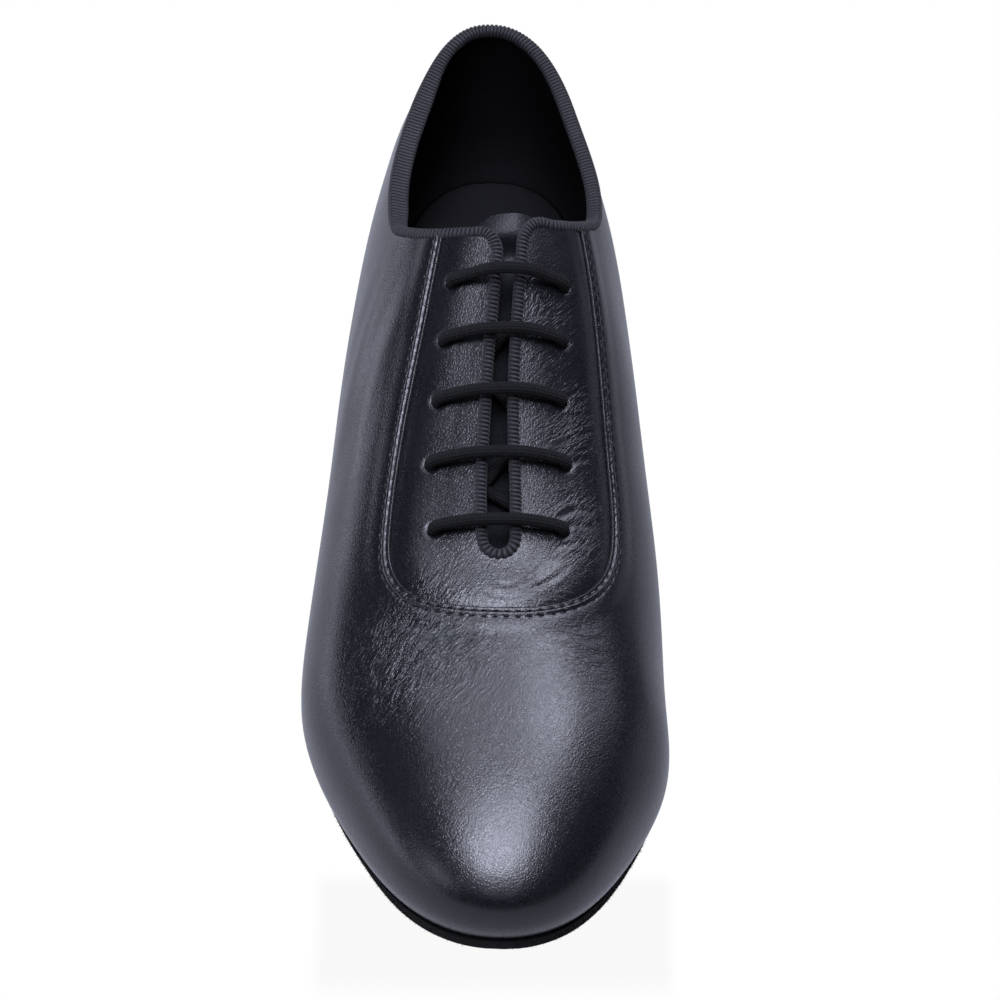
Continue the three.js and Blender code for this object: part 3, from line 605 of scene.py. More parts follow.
def leather_lines(last, start, down, side, steps=56, under_steps=18):
    """Lines down the leather, from plan places over the widest line to the feather edge."""
    x0, t0 = start[:, 0], start[:, 1]
    out_x = last.axis(down) + side * last.half(down, side)
    own_side = np.where(x0 > last.axis(t0), MEDIAL, LATERAL)
    power = last.column["full"](t0)
    share0 = np.clip(np.abs(x0 - last.axis(t0)) / np.maximum(last.half(t0, own_side), 1e-9), 0, 1)
    angle0 = np.arccos(np.minimum(1, share0 ** (power / 2)))
    angle = angle0[:, None] * (1 - np.linspace(0, 1, steps))[None]
    reach = np.cos(angle) ** (2 / power[:, None])
    way = (reach - share0[:, None]) / np.maximum(1 - share0[:, None], 1e-9)
    x = x0[:, None] + (out_x - x0)[:, None] * way
    t = t0[:, None] + (down - t0)[:, None] * way
    over = last.point(x, t)
    same = np.abs(down - t0) < 1e-9
    if same.any():
        half = last.half(down[same], side[same])[:, None] * side[same][:, None]
        z = last.widest(t0[same])[:, None] + last.rise(t0[same])[:, None] * np.sin(angle[same]) ** (
            2 / power[same][:, None])
        over[same] = np.stack([last.axis(t0[same])[:, None] + half * reach[same],
                               last.place_y(t0[same][:, None], z), z], -1)
    widest = over[:, -1]
    edge = [last.sole_edge(down, way_side, last.FEATHER_INSET) for way_side in (LATERAL, MEDIAL)]
    edge_x = np.where(side > 0, edge[1][0], edge[0][0])
    edge_y = np.where(side > 0, edge[1][1], edge[0][1])
    floor = last.seat(last.share_at(edge_y)) + last.CLEARANCE
    sink = np.linspace(0, 1, under_steps + 1)[1:]
    tuck = sink**last.TUCK_POWER
    under = np.stack([
        widest[:, None, 0] + (edge_x - widest[:, 0])[:, None] * tuck,
        widest[:, None, 1] + (edge_y - widest[:, 1])[:, None] * tuck,
        widest[:, None, 2] + (floor - widest[:, 2])[:, None] * sink,
    ], -1)
    return np.concatenate([over, under], 1)


def spaced(lines, distances):
    """Points along each line at the distances given for it, lines by rows."""
    steps = np.linalg.norm(np.diff(lines, axis=1), axis=-1)
    run = np.concatenate([np.zeros((len(lines), 1)), np.cumsum(steps, 1)], 1)
    grid = np.empty(distances.shape + (3,))
    for k in range(len(lines)):
        for axis in range(3):
            grid[k, :, axis] = np.interp(distances[k], run[k], lines[k, :, axis])
    return grid


def line_lengths(lines):
    return np.linalg.norm(np.diff(lines, axis=1), axis=-1).sum(1)


def grid_normals(grid):
    """Outward normals of a grid whose lines close on themselves."""
    along = np.roll(grid, -1, 0) - np.roll(grid, 1, 0)
    normal = unit(np.cross(along, np.gradient(grid, axis=1)))
    middle = grid.reshape(-1, 3).mean(0)
    if np.sum(normal * (grid - middle)) < 0:
        normal = -normal
    return normal


def nearest(path, points):
    """Distance from each point to a path, and the run along the path there."""
    tree = KDTree(len(path))
    for index, place in enumerate(path):
        tree.insert(place, index)
    tree.balance()
    run = run_of(path)
    found = [tree.find(point)[1:] for point in points.reshape(-1, 3)]
    index = np.array([pair[0] for pair in found])
    distance = np.array([pair[1] for pair in found])
    return distance.reshape(points.shape[:-1]), run[index].reshape(points.shape[:-1])


# Folds of the worn leather, as soft troughs with a ridge beside them. points run across and
# along the last in its own shares, width and depth are millimetres
CREASES = table(
    "points width depth",
    # round the throat's end
    (((-0.05, 0.672), (0.01, 0.689), (0.09, 0.681), (0.14, 0.662)), 0.7, 0.12),
    (((-0.08, 0.682), (0.01, 0.701), (0.11, 0.692), (0.17, 0.672)), 0.8, 0.1),
    (((0.04, 0.694), (0.13, 0.687), (0.2, 0.664)), 0.8, 0.12),
    # from the medial eyelets outwards
    (((0.17, 0.512), (0.21, 0.497), (0.25, 0.486)), 0.6, 0.12),
    (((0.18, 0.528), (0.22, 0.515), (0.27, 0.504)), 0.6, 0.1),
    (((0.17, 0.548), (0.22, 0.534), (0.27, 0.52)), 0.7, 0.1),
    (((0.18, 0.572), (0.23, 0.556), (0.27, 0.546)), 0.8, 0.13),
    (((0.17, 0.618), (0.22, 0.606), (0.28, 0.6)), 0.8, 0.15),
    (((0.17, 0.63), (0.22, 0.62), (0.28, 0.616)), 0.8, 0.14),
    (((0.16, 0.648), (0.21, 0.64), (0.27, 0.634)), 0.9, 0.12),
    # across the vamp below the lateral corner of the seam
    (((-0.25, 0.697), (-0.31, 0.722), (-0.35, 0.752)), 0.6, 0.07),
    (((-0.21, 0.71), (-0.285, 0.738), (-0.33, 0.78)), 0.7, 0.09),
    (((-0.15, 0.719), (-0.235, 0.743), (-0.29, 0.785), (-0.315, 0.815)), 0.8, 0.11),
    (((-0.08, 0.722), (-0.17, 0.737), (-0.245, 0.772), (-0.28, 0.81)), 0.8, 0.1),
    (((-0.1, 0.735), (-0.18, 0.757), (-0.235, 0.79)), 0.6, 0.06),
    # across the vamp below the medial corner
    (((0.17, 0.733), (0.24, 0.736), (0.3, 0.728)), 0.9, 0.11),
    (((0.16, 0.745), (0.24, 0.75), (0.31, 0.744)), 0.9, 0.1),
    (((0.18, 0.76), (0.25, 0.764), (0.31, 0.76)), 0.9, 0.07),
    # soft folds of the lateral quarter
    (((-0.24, 0.345), (-0.32, 0.395), (-0.4, 0.46), (-0.45, 0.52)), 4.2, 0.34),
    (((-0.31, 0.33), (-0.38, 0.37), (-0.43, 0.42)), 3.6, 0.2),
    (((-0.27, 0.42), (-0.33, 0.46), (-0.38, 0.52)), 3.2, 0.14),
)

# Places where the grain is drawn into fine wrinkles: across and along as above, reach in
# millimetres, lengthways and crossways how strong the wrinkles are in each direction
FLEXED = table(
    "across along reach lengthways crossways",
    (-0.24, 0.735, 15, 1.0, 0.0), (-0.14, 0.75, 14, 0.7, 0.0), (-0.27, 0.78, 15, 0.45, 0.0),
    (0.23, 0.745, 13, 0.0, 0.8), (0.25, 0.52, 11, 1.0, 0.0), (0.25, 0.62, 11, 0.9, 0.0),
    (0.14, 0.44, 12, 0.5, 0.0), (0.06, 0.69, 12, 0.2, 0.6), (-0.14, 0.67, 9, 0.35, 0.0),
    (-0.38, 0.4, 24, 0.12, 0.0), (0.0, 0.83, 40, 0.12, 0.0),
)


def crease_relief(last, grid):
    """Height of the listed folds at each point of a grid."""
    relief = np.zeros(grid.shape[:2])
    for crease in CREASES:
        plan = [(across * last.width + last.shift, (0.5 - along) * last.length)
                for across, along in crease["points"]]
        plan = smooth_path(plan, 80)
        path = last.point(plan[:, 0], last.share_at(plan[:, 1]))
        width = crease["width"] * MM
        near = np.all((grid > path.min(0) - 5 * width) & (grid < path.max(0) + 5 * width), -1)
        points = grid[near]
        if not len(points):
            continue
        gaps = np.linalg.norm(points[:, None] - path[None], axis=-1)
        index = np.argmin(gaps, 1)
        distance = gaps[np.arange(len(points)), index]
        fade = np.sin(math.pi * (0.03 + 0.94 * index / (len(path) - 1))) ** 0.8
        shape = hump(distance - 1.9 * width, width) * 0.45 - hump(distance, width)
        relief[near] += crease["depth"] * MM * fade * shape
    return relief


def add_flex(piece, last):
    """Attributes that tell the leather where it is wrinkled."""
    count = len(piece.data.vertices)
    places = np.empty(count * 3)
    piece.data.vertices.foreach_get("co", places)
    places = places.reshape(-1, 3)
    for name in ("lengthways", "crossways"):
        total = np.zeros(count)
        for spot in FLEXED:
            t = np.array(spot["along"])
            middle = last.point(spot["across"] * last.width + last.shift, t)
            total += spot[name] * hump(np.linalg.norm(places - middle, axis=1), spot["reach"] * MM)
        add_attribute(piece, name, np.minimum(1.2, total))


class Form:
    """What all operators share: the last and its pattern."""

    made = {}

    @classmethod
    def get(cls):
        if "last" not in cls.made:
            cls.made["last"] = Last()
            cls.made["pattern"] = Pattern(cls.made["last"])
        return cls.made["last"], cls.made["pattern"]


SEAM_LIFT_REACH = 9 * MM
THROAT_LIFT = 0.9 * MM


def vamp_loop(last, pattern):
    """Inner edge of the vamp and quarters with the places on the widest line that it leads to."""
    collar_step = 0.9 * MM
    seam_step = 0.52 * MM
    parts = []
    for side in (LATERAL, MEDIAL):
        join_rim, _ = pattern.joins[side]
        rim = pattern.rim[side][:join_rim + 1]
        run = run_of(last.point(rim[:, 0], rim[:, 1]))
        count = int(run[-1] / collar_step)
        even = np.linspace(0, run[-1], count)
        plan = np.stack([np.interp(even, run, rim[:, 0]), np.interp(even, run, rim[:, 1])], -1)
        own_to = 0.26
        down = np.where(plan[:, 1] < own_to, plan[:, 1], own_to + (plan[:, 1] - own_to) * 0.8)
        parts.append((plan, down))
    first, end = pattern.joins[LATERAL][1], pattern.joins[MEDIAL][1]
    edge = pattern.edge[first:end + 1]
    points = last.point(edge[:, 0], edge[:, 1])
    run = run_of(points)
    even = np.linspace(0, run[-1], int(run[-1] / seam_step))
    seam = np.stack([np.interp(even, run, edge[:, 0]), np.interp(even, run, edge[:, 1])], -1)
    middle = np.argmax(seam[:, 1])
    reach = spline(VAMP_SPREAD, "reach")
    down = np.zeros(len(seam))
    side = np.where(np.arange(len(seam)) <= middle, LATERAL, MEDIAL)
    for way, part in ((LATERAL, np.arange(middle + 1)), (MEDIAL, np.arange(len(seam) - 1, middle - 1, -1))):
        t = 1 - (1 - parts[0 if way == LATERAL else 1][1][-1]) * (1 - np.linspace(0, 1, 3000)) ** 2
        outline = np.stack([last.axis(t) + way * last.half(t, way), (0.5 - t) * last.length], -1)
        outline_run = run_of(outline)
        share = np.abs(even[part] - even[part[0]])
        share = share / share[-1]
        down[part] = np.interp(reach(share) * outline_run[-1], outline_run, t)
    lateral, medial = parts
    plan = np.concatenate([lateral[0][:-1], seam, medial[0][1:-1][::-1]])
    down = np.concatenate([lateral[1][:-1], down, medial[1][1:-1][::-1]])
    sides = np.concatenate([np.full(len(lateral[0]) - 1, LATERAL), side, np.full(len(medial[0]) - 2, MEDIAL)])
    return plan, down, sides


def stitch_relief(edge_distance, run, pitch):
    """Height of the lapped vamp edge: rounded rim, two stitch furrows and the puffs between."""
    first = Pattern.EDGE_BEFORE_STITCH
    second = first + Pattern.ROWS_APART
    beat = np.cos(2 * math.pi * run / pitch)
    relief = 0.34 * MM * hump(edge_distance - (first + second) / 2, 0.6 * MM) * (1 + 0.12 * beat)
    relief += 0.08 * MM * hump(edge_distance - 0.3 * MM, 0.35 * MM)
    for row in (first, second):
        relief -= 0.34 * MM * hump(edge_distance - row, 0.3 * MM) * (0.75 - 0.45 * beat)
    return relief


def make_vamp_quarters():
    last, pattern = Form.get()
    plan, down, side = vamp_loop(last, pattern)
    lines = leather_lines(last, plan, down, side)
    near_step = 0.42 * MM
    near_rows = 19
    far_rows = 74
    near = near_step * np.arange(near_rows + 1)
    total = line_lengths(lines)
    far = near[-1] + (total - near[-1])[:, None] * (np.arange(1, far_rows + 1) / far_rows) ** 1.05
    distances = np.concatenate([np.tile(near, (len(lines), 1)), far], 1)
    grid = spaced(lines, distances)
    normals = grid_normals(grid)
    edge_path = pattern.seam_points(pattern.edge)
    block = grid[:, :near_rows + 8]
    gap, run = nearest(edge_path, block)
    relief = crease_relief(last, grid)
    lap = sizes().vamp_lap
    by_seam = smoothstep(SEAM_LIFT_REACH, 4 * MM, gap)
    relief[:, :near_rows + 8] += by_seam * (stitch_relief(gap, run, sizes().stitch_pitch) + 0.45 * lap)
    back_seam = hump(grid[..., 0] - last.axis(0.0), 0.5 * MM) * (grid[..., 1] > 0.42 * last.length)
    relief -= 0.35 * MM * back_seam
    relief += 0.12 * MM * hump(np.abs(grid[..., 0] - last.axis(0.0)) - 1.8 * MM, 1.0 * MM) * (
        grid[..., 1] > 0.42 * last.length)
    surface = grid + normals * relief[..., None]
    into = unit(grid[:, 1] - grid[:, 0])
    fold = [(1.8, -1.15), (0.6, -1.15), (0.1, -1.02), (-0.12, -0.72), (-0.12, -0.36), (-0.02, -0.12)]
    folded = [surface[:, 0] + into * way * MM + normals[:, 0] * height * MM for way, height in fold]
    bottom = surface[:, -1]
    centre = np.stack([last.axis(last.share_at(bottom[:, 1])), bottom[:, 1], bottom[:, 2]], -1)
    inward = unit(centre - bottom)
    turned = [bottom + inward * way * MM for way in (0.8, 2.0)]
    whole = np.concatenate([np.stack(folded, 1), surface, np.stack(turned, 1)], 1)
    piece = grid_mesh("vamp_quarters", whole, closed=True, outward=lambda at: at - at.mean(0))
    weld(piece, 1e-6)
    add_flex(piece, last)
    return finish_piece(piece, leather_material(), "upper_leather", "upper")


def rim_lift(pattern, side, plan):
    """How far the facing's inner edge curls up, from none at the topline to its full height."""
    t = plan[:, 1]
    front = pattern.corner[side]
    return THROAT_LIFT * smoothstep(front - 0.01, front + 0.05, t) * (1 - 0.6 * smoothstep(0.62, 0.656, t))


def facing_lines(last, pattern, side):
    """Plan lines of one facing, from the throat edge to under the vamp."""
    join_rim, join_seam = pattern.joins[side]
    rim = pattern.rim[side][join_rim:]
    middle = np.argmax(pattern.edge[:, 1])
    seam = pattern.edge[join_seam:middle + 1] if side == LATERAL else pattern.edge[middle:join_seam + 1][::-1]
    scale = np.array([1, last.length])
    rim_run = run_of(rim * scale)
    seam_run = run_of(seam * scale)
    count = int(seam_run[-1] / (0.5 * MM))
    reach = straight(FACING_SPREAD, "reach")
    inverse_at = np.linspace(0, 1, 2000)
    seam_share = np.linspace(0, 1, count)
    rim_share = np.interp(seam_share, reach(inverse_at), inverse_at)
    rim_plan = np.stack([np.interp(rim_share * rim_run[-1], rim_run, rim[:, i]) for i in range(2)], -1)
    seam_plan = np.stack([np.interp(seam_share * seam_run[-1], seam_run, seam[:, i]) for i in range(2)], -1)
    return rim_plan, seam_plan


FACING_ROWS = 52
FACING_OVERLAP = 3 * MM


def facing_relief(last, rim_gap, seam_gap, lift, grid):
    """Height of the facing: curled up beside the throat, dipping under the vamp's edge."""
    relief = lift * (0.55 * np.exp(-rim_gap / (3.0 * MM)) + 0.45 * np.exp(-rim_gap / (9 * MM)))
    relief += 0.95 * MM * (1 - np.exp(-seam_gap / (2.6 * MM))) - 0.5 * MM
    relief -= 0.5 * MM * smoothstep(5 * MM, 16 * MM, seam_gap)
    relief += crease_relief(last, grid)
    for t, x, _ in eyelet_places(last):
        gap = np.linalg.norm(grid - last.point(x, t), axis=-1)
        relief += 0.1 * MM * hump(gap - 3.0 * MM, 0.7 * MM)
        relief -= 0.45 * MM * hump(gap, 2.3 * MM)
    return relief


def make_facings():
    last, pattern = Form.get()
    edge_path = pattern.seam_points(pattern.edge)
    halves = []
    for side in (LATERAL, MEDIAL):
        rim_plan, seam_plan = facing_lines(last, pattern, side)
        lift = rim_lift(pattern, side, rim_plan)
        way = np.linspace(0, 1, FACING_ROWS)
        plan = rim_plan[:, None] + (seam_plan - rim_plan)[:, None] * way[None, :, None]
        grid = last.point(plan[..., 0], plan[..., 1])
        gap_rim = np.concatenate([np.zeros((len(grid), 1)),
                                  np.cumsum(np.linalg.norm(np.diff(grid, axis=1), axis=-1), 1)], 1)
        out = unit(grid[:, -1] - grid[:, -2] + 1e-9)
        extra = np.stack([grid[:, -1] + out * d for d in (0.8 * MM, 1.8 * MM, FACING_OVERLAP)], 1)
        gap_seam, _ = nearest(edge_path, grid)
        normals = last.normal(plan[..., 0], plan[..., 1])
        relief = facing_relief(last, gap_rim, gap_seam, lift[:, None], grid)
        surface = grid + normals * relief[..., None]
        extra = extra + (normals[:, -1] * relief[:, -1][:, None])[:, None]
        extra[:, 1:] -= (normals[:, -1] * 0.25 * MM)[:, None]
        whole = np.concatenate([surface, extra], 1)
        halves.append(grid_mesh("facings", whole, outward=lambda at: np.array([0, 0, 1.0])))
    piece = joined(halves, "facings")
    weld(piece, 2e-5)
    apply_modifier(piece, "SOLIDIFY", thickness=0.95 * MM, offset=-1)
    punch_eyelets(piece)
    add_flex(piece, last)
    return finish_piece(piece, leather_material(), "upper_leather")


def eyelet_places(last):
    for row in EYELETS:
        t, middle = last.eyelet_row(row)
        for side in (LATERAL, MEDIAL):
            yield t, middle + side * row["spread"] * last.EYELET_SPREAD, side


def punch_eyelets(piece):
    """Cuts the ten lace holes through a leather piece."""
    last, _ = Form.get()
    pins = []
    for t, x, _ in eyelet_places(last):
        normal = Vector(last.normal(x, t))
        place = Vector(last.point(x, t))
        bpy.ops.object.select_all(action="DESELECT")
        bpy.ops.mesh.primitive_cylinder_add(vertices=20, radius=sizes().lace_diameter / 2 + 0.05 * MM,
                                            depth=9 * MM, location=place,
                                            rotation=normal.to_track_quat("Z", "Y").to_euler())
        pins.append(bpy.context.object)
    punch = joined(pins, "eyelet_punch")
    apply_modifier(piece, "BOOLEAN", operation="DIFFERENCE", object=punch, solver="EXACT")
    bpy.data.objects.remove(punch)


def make_lining():
    """Inner face of the upper, from the topline and throat down to the insole."""
    last, pattern = Form.get()
    parts = []
    end_at = last.THROAT_END / last.length
    radius = last.THROAT_GAP * last.gap(end_at) / 2 / last.length
    for side in (LATERAL, MEDIAL):
        rim = pattern.rim[side]
        front = pattern.corner[side]
        stops = table("at reach", (0.0, 0.0), (0.26, 0.26), (front, 0.36), (front + 0.028, 0.4),
                      (end_at - radius, 0.74))
        down = straight(stops, "reach")(rim[:, 1])
        turn = np.clip((rim[:, 1] - end_at + radius) / radius, 0, 1)
        down = down + (1 - down) * np.where(turn > 0, turn, 0)
        outline = np.stack([last.axis(down) + side * last.half(down, side), (0.5 - down) * last.length], -1)
        run = run_of(last.point(rim[:, 0], rim[:, 1])) + run_of(outline)
        even = np.linspace(0, run[-1], int(run[-1] / (3.2 * MM)))
        parts.append([np.interp(even, run, values) for values in (rim[:, 0], rim[:, 1], down)])
    lateral, medial = parts
    x, t, down = (np.concatenate([a, b[1:-1][::-1]]) for a, b in zip(lateral, medial))
    side = np.concatenate([np.full(len(lateral[0]), LATERAL), np.full(len(medial[0]) - 2, MEDIAL)])
    lines = leather_lines(last, np.stack([x, t], -1), down, side)
    total = line_lengths(lines)
    distances = total[:, None] * np.linspace(0, 1, 56)
    grid = spaced(lines, distances)
    normals = grid_normals(grid)
    inner = grid - normals * (sizes().upper_wall - 0.4 * MM)
    inner[:, -1, 2] = grid[:, -1, 2] + 0.1 * MM
    piece = grid_mesh("lining", inner, closed=True, outward=lambda at: at - at.mean(0))
    weld(piece, 1e-5)
    apply_modifier(piece, "SOLIDIFY", thickness=0.4 * MM, offset=-1)
    punch_eyelets(piece)
    return finish_piece(piece, lining_material(), "lining_leather")


def rim_path(last, pattern):
    """Closed path of the opening's edge: its points, lifted where the facing curls, with their plan places
    and sides.
    """
    parts = []
    for side in (LATERAL, MEDIAL):
        rim = pattern.rim[side]
        points = last.point(rim[:, 0], rim[:, 1])
        points = points + last.normal(rim[:, 0], rim[:, 1]) * rim_lift(pattern, side, rim)[:, None]
        parts.append(np.concatenate([points, rim, np.full((len(rim), 1), side)], 1))
    lateral, medial = parts
    return np.concatenate([lateral, medial[1:-1][::-1]])


STEPS_PER_RIB = 6
PATH_SMOOTHING = 9
TAPE_LEG = 2.5 * MM
TAPE_OVER_EDGE = 0.95 * MM
TAPE_PADDING = 1 * MM
TAPE_SQUARENESS = 0.75
RIB_DEPTH = 0.3
COLLAR_PADDING = 1.7 * MM


def make_binding():
    """Ribbed tape folded over the edge of the opening."""
    last, pattern = Form.get()
    path = rim_path(last, pattern)
    closed = np.concatenate([path, path[:1]])
    run = run_of(closed[:, :3])
    pitch = run[-1] / round(run[-1] / sizes().rib_pitch)
    count = int(round(run[-1] / pitch)) * STEPS_PER_RIB
    even = np.arange(count) * run[-1] / count
    at = np.stack([np.interp(even, run, closed[:, i]) for i in range(6)], -1)
    points = at[:, :3]
    kernel = np.ones(PATH_SMOOTHING) / PATH_SMOOTHING
    padded = np.concatenate([points[-PATH_SMOOTHING:], points, points[:PATH_SMOOTHING]])
    points = np.stack([np.convolve(padded[:, i], kernel, "same") for i in range(3)], -1)
    points = points[PATH_SMOOTHING:-PATH_SMOOTHING]
    along = unit(np.roll(points, -1, 0) - np.roll(points, 1, 0))
    normal = last.normal(at[:, 3], np.clip(at[:, 4], 0.002, 0.998))
    radial = np.stack([points[:, 0] - last.axis(0.06), points[:, 1] - 0.38 * last.length,
                       0 * points[:, 0]], -1)
    weight = smoothstep(0.035, 0.006, at[:, 4])[:, None]
    normal = unit(normal * (1 - weight) + unit(radial) * weight)
    normal = unit(normal - along * np.sum(normal * along, 1)[:, None])
    into = np.cross(normal, along)
    toward = np.where(at[:, 4:5] < 0.33, np.array([[0, 0, -1.0]]), unit(points - np.stack(
        [last.width * last.middle(np.clip(at[:, 4], 0.36, 0.65)) + last.shift, points[:, 1] + 1 * MM,
         points[:, 2]], -1)))
    if np.median(np.sum(into * toward, 1)) < 0:
        into = -into
    wall = sizes().upper_wall
    turn = np.linspace(0, 2 * math.pi, 26, endpoint=False)
    half_width = (TAPE_LEG + TAPE_OVER_EDGE) / 2
    half_thick = wall / 2 + TAPE_PADDING
    centre_in = TAPE_LEG - half_width
    across = np.sign(np.cos(turn)) * np.abs(np.cos(turn)) ** TAPE_SQUARENESS
    over = np.sign(np.sin(turn)) * np.abs(np.sin(turn)) ** TAPE_SQUARENESS
    slant = 0.9 * across[None] * smoothstep(0.3, 0.4, at[:, 4:5])
    beat = np.sin(math.pi * even[:, None] / pitch + slant)
    rib = 1 - (1 - np.abs(beat)) ** 1.6
    swell = 1 - RIB_DEPTH + RIB_DEPTH * rib
    padded_wall = COLLAR_PADDING * smoothstep(0.03, 0.12, at[:, 4]) * smoothstep(0.325, 0.27, at[:, 4])
    padded_wall = padded_wall * np.where(at[:, 5] < 0, 1, 0.25)
    width = centre_in + half_width * across[None] * (0.3 + 0.7 * swell)
    height = -wall / 2 + half_thick * over[None] * swell
    height = height - padded_wall[:, None] * smoothstep(0.3, -0.6, over)[None]
    width = width - 0.55 * padded_wall[:, None] * smoothstep(0.2, -0.7, over)[None]
    grid = points[:, None] + into[:, None] * width[..., None] + normal[:, None] * height[..., None]
    ring = np.concatenate([grid, grid[:, :1]], 1)
    piece = grid_mesh("topline_binding", ring, closed=True)
    add_uv(piece, np.repeat(even[:, None], ring.shape[1], 1) / pitch,
           np.repeat(np.linspace(0, 1, ring.shape[1])[None], len(even), 0))
    weld(piece, 1e-6)
    outward_normals(piece)
    return finish_piece(piece, tape_material(), "binding_tape", "topline_binding")


TONGUE_GLOSS_TO = 0.1
TONGUE_DULL_FROM = 0.2


def make_tongue():
    """Soft leaf under the facings, with a rounded top edge."""
    last, _ = Form.get()
    top, foot = 99 * MM, 202 * MM
    full_width = 46 * MM
    s = sizes()
    depth = s.upper_wall + 1.35 * MM + s.lace_diameter + 2 * last.CLEARANCE
    rows = 90
    at = np.linspace(0, 1, rows) ** 1.4
    t = (top + (foot - top) * at) / last.length
    side = np.linspace(-1, 1, 45)
    width = straight(TONGUE, "width")(at)
    drop = straight(TONGUE, "drop")(at)
    kernel = np.hanning(9)[1:-1]
    kernel /= kernel.sum()
    pad = len(kernel) // 2
    drop = np.convolve(np.pad(drop, pad, mode="edge"), kernel, "valid")
    round_top = np.sqrt(1 - np.clip(1 - at / 0.07, 0, 1) ** 2)
    width = np.minimum(width, 0.34 + 0.52 * round_top + at)
    x = last.width * last.middle(t)[:, None] + last.shift + full_width / 2 * width[:, None] * side[None]
    plan_t = np.repeat(t[:, None], len(side), 1)
    grid = last.lifted(x, plan_t, -depth * np.repeat(drop[:, None], len(side), 1))
    piece = grid_mesh("tongue", grid, outward=lambda p: np.array([0, 0, 1.0]))
    shaded = smoothstep(TONGUE_GLOSS_TO, TONGUE_DULL_FROM, at)
    add_attribute(piece, "shaded", np.repeat(shaded[:, None], len(side), 1))
    apply_modifier(piece, "SOLIDIFY", thickness=1.6 * MM, offset=-1)
    apply_modifier(piece, "BEVEL", width=0.5 * MM, segments=3, limit_method="ANGLE", angle_limit=1.0)
    return finish_piece(piece, tongue_material(), "upper_leather", "tongue")


# Lace

def cord_mesh(name, centre, radius, step_along, sides):
    """Round cord along a path, with UVs that run once round it and along it."""
    run = run_of(centre)
    count = max(8, int(run[-1] / step_along))
    even = np.linspace(0, run[-1], count)
    path = points_at(centre, even)
    along = unit(np.gradient(path, axis=0))
    up = np.array([0.0, 0.0, 1.0]) + 0 * path
    side = unit(np.cross(along, up + np.array([0, 1e-3, 0])))
    for k in range(1, count):
        carried = side[k - 1] - along[k] * np.dot(side[k - 1], along[k])
        side[k] = carried / np.linalg.norm(carried)
    top = np.cross(side, along)
    turn = np.linspace(0, 2 * math.pi, sides, endpoint=False)
    around = np.cos(turn)[None, :, None] * side[:, None] + np.sin(turn)[None, :, None] * top[:, None]
    ring = path[:, None] + radius * around
    grid = np.concatenate([ring, ring[:, :1]], 1)
    piece = grid_mesh(name, grid)
    turns = np.repeat(np.linspace(0, 1, sides + 1)[None], count, 0)
    add_uv(piece, np.repeat(even[:, None], sides + 1, 1) / (2 * math.pi * radius), turns)
    weld(piece, 1e-7)
    close_holes(piece)
    outward_normals(piece)
    return piece


def lace_depth():
    """How far under the leather's face the hidden crossings of the lace run."""
    return sizes().upper_wall + 1.35 * MM + sizes().lace_diameter / 2


def bar_points(last, row):
    """Route of one lace bar: out of one eyelet, over the facings and slot, into the other."""
    t, middle = last.eyelet_row(row)
    r = sizes().lace_diameter / 2
    stub = lace_depth() + 0.6 * r
    low = r + 0.75 * MM
    arch = 3.3 * MM * row["arch"] + 0.35 * MM
    bend = 1.35 * r
    points = []
    for side in (LATERAL, MEDIAL):
        hole = middle + side * row["spread"] * last.EYELET_SPREAD
        arm = [(hole, -stub), (hole, -stub / 2), (hole, -0.2 * r), (hole - side * bend * 0.3, low * 0.68),
               (hole - side * bend, low), (hole - side * bend * 2.2, low + 0.45 * MM),
               (middle + side * last.EYELET_SPREAD * 0.38, (arch + low) / 2 + 0.6 * MM)]
        placed = [last.lifted(np.array(x), np.array(t), height) for x, height in arm]
        if side == LATERAL:
            points += placed + [last.lifted(np.array(middle), np.array(t), arch)]
        else:
            points += placed[::-1]
    return np.array(points)


def make_lace():
    last, _ = Form.get()
    radius = sizes().lace_diameter / 2
    pieces = []
    for row in EYELETS:
        pieces.append(cord_mesh("lace", smooth_path(bar_points(last, row), 200), radius, 0.35 * MM, 32))
    for crossing in CROSSINGS:
        ends = []
        for side, index in ((MEDIAL, crossing["medial"]), (LATERAL, crossing["lateral"])):
            row = EYELETS[index]
            t, middle = last.eyelet_row(row)
            ends.append((middle + side * row["spread"] * last.EYELET_SPREAD, t))
        way = np.linspace(0, 1, 24)
        x = ends[0][0] + (ends[1][0] - ends[0][0]) * way
        t = ends[0][1] + (ends[1][1] - ends[0][1]) * way
        centre = last.lifted(x, t, np.full(len(way), -lace_depth()))
        pieces.append(cord_mesh("lace", smooth_path(centre, 80), radius, 0.6 * MM, 24))
    piece = joined(pieces, "lace")
    return finish_piece(piece, cord_material(), "lace_cord", "lace")


# Seam stitches

STITCH_HALF_LENGTH = 1.1 * MM
STITCH_RADIUS = 0.24 * MM
STITCH_BOW = 0.16 * MM
STITCH_SINK = 0.36 * MM


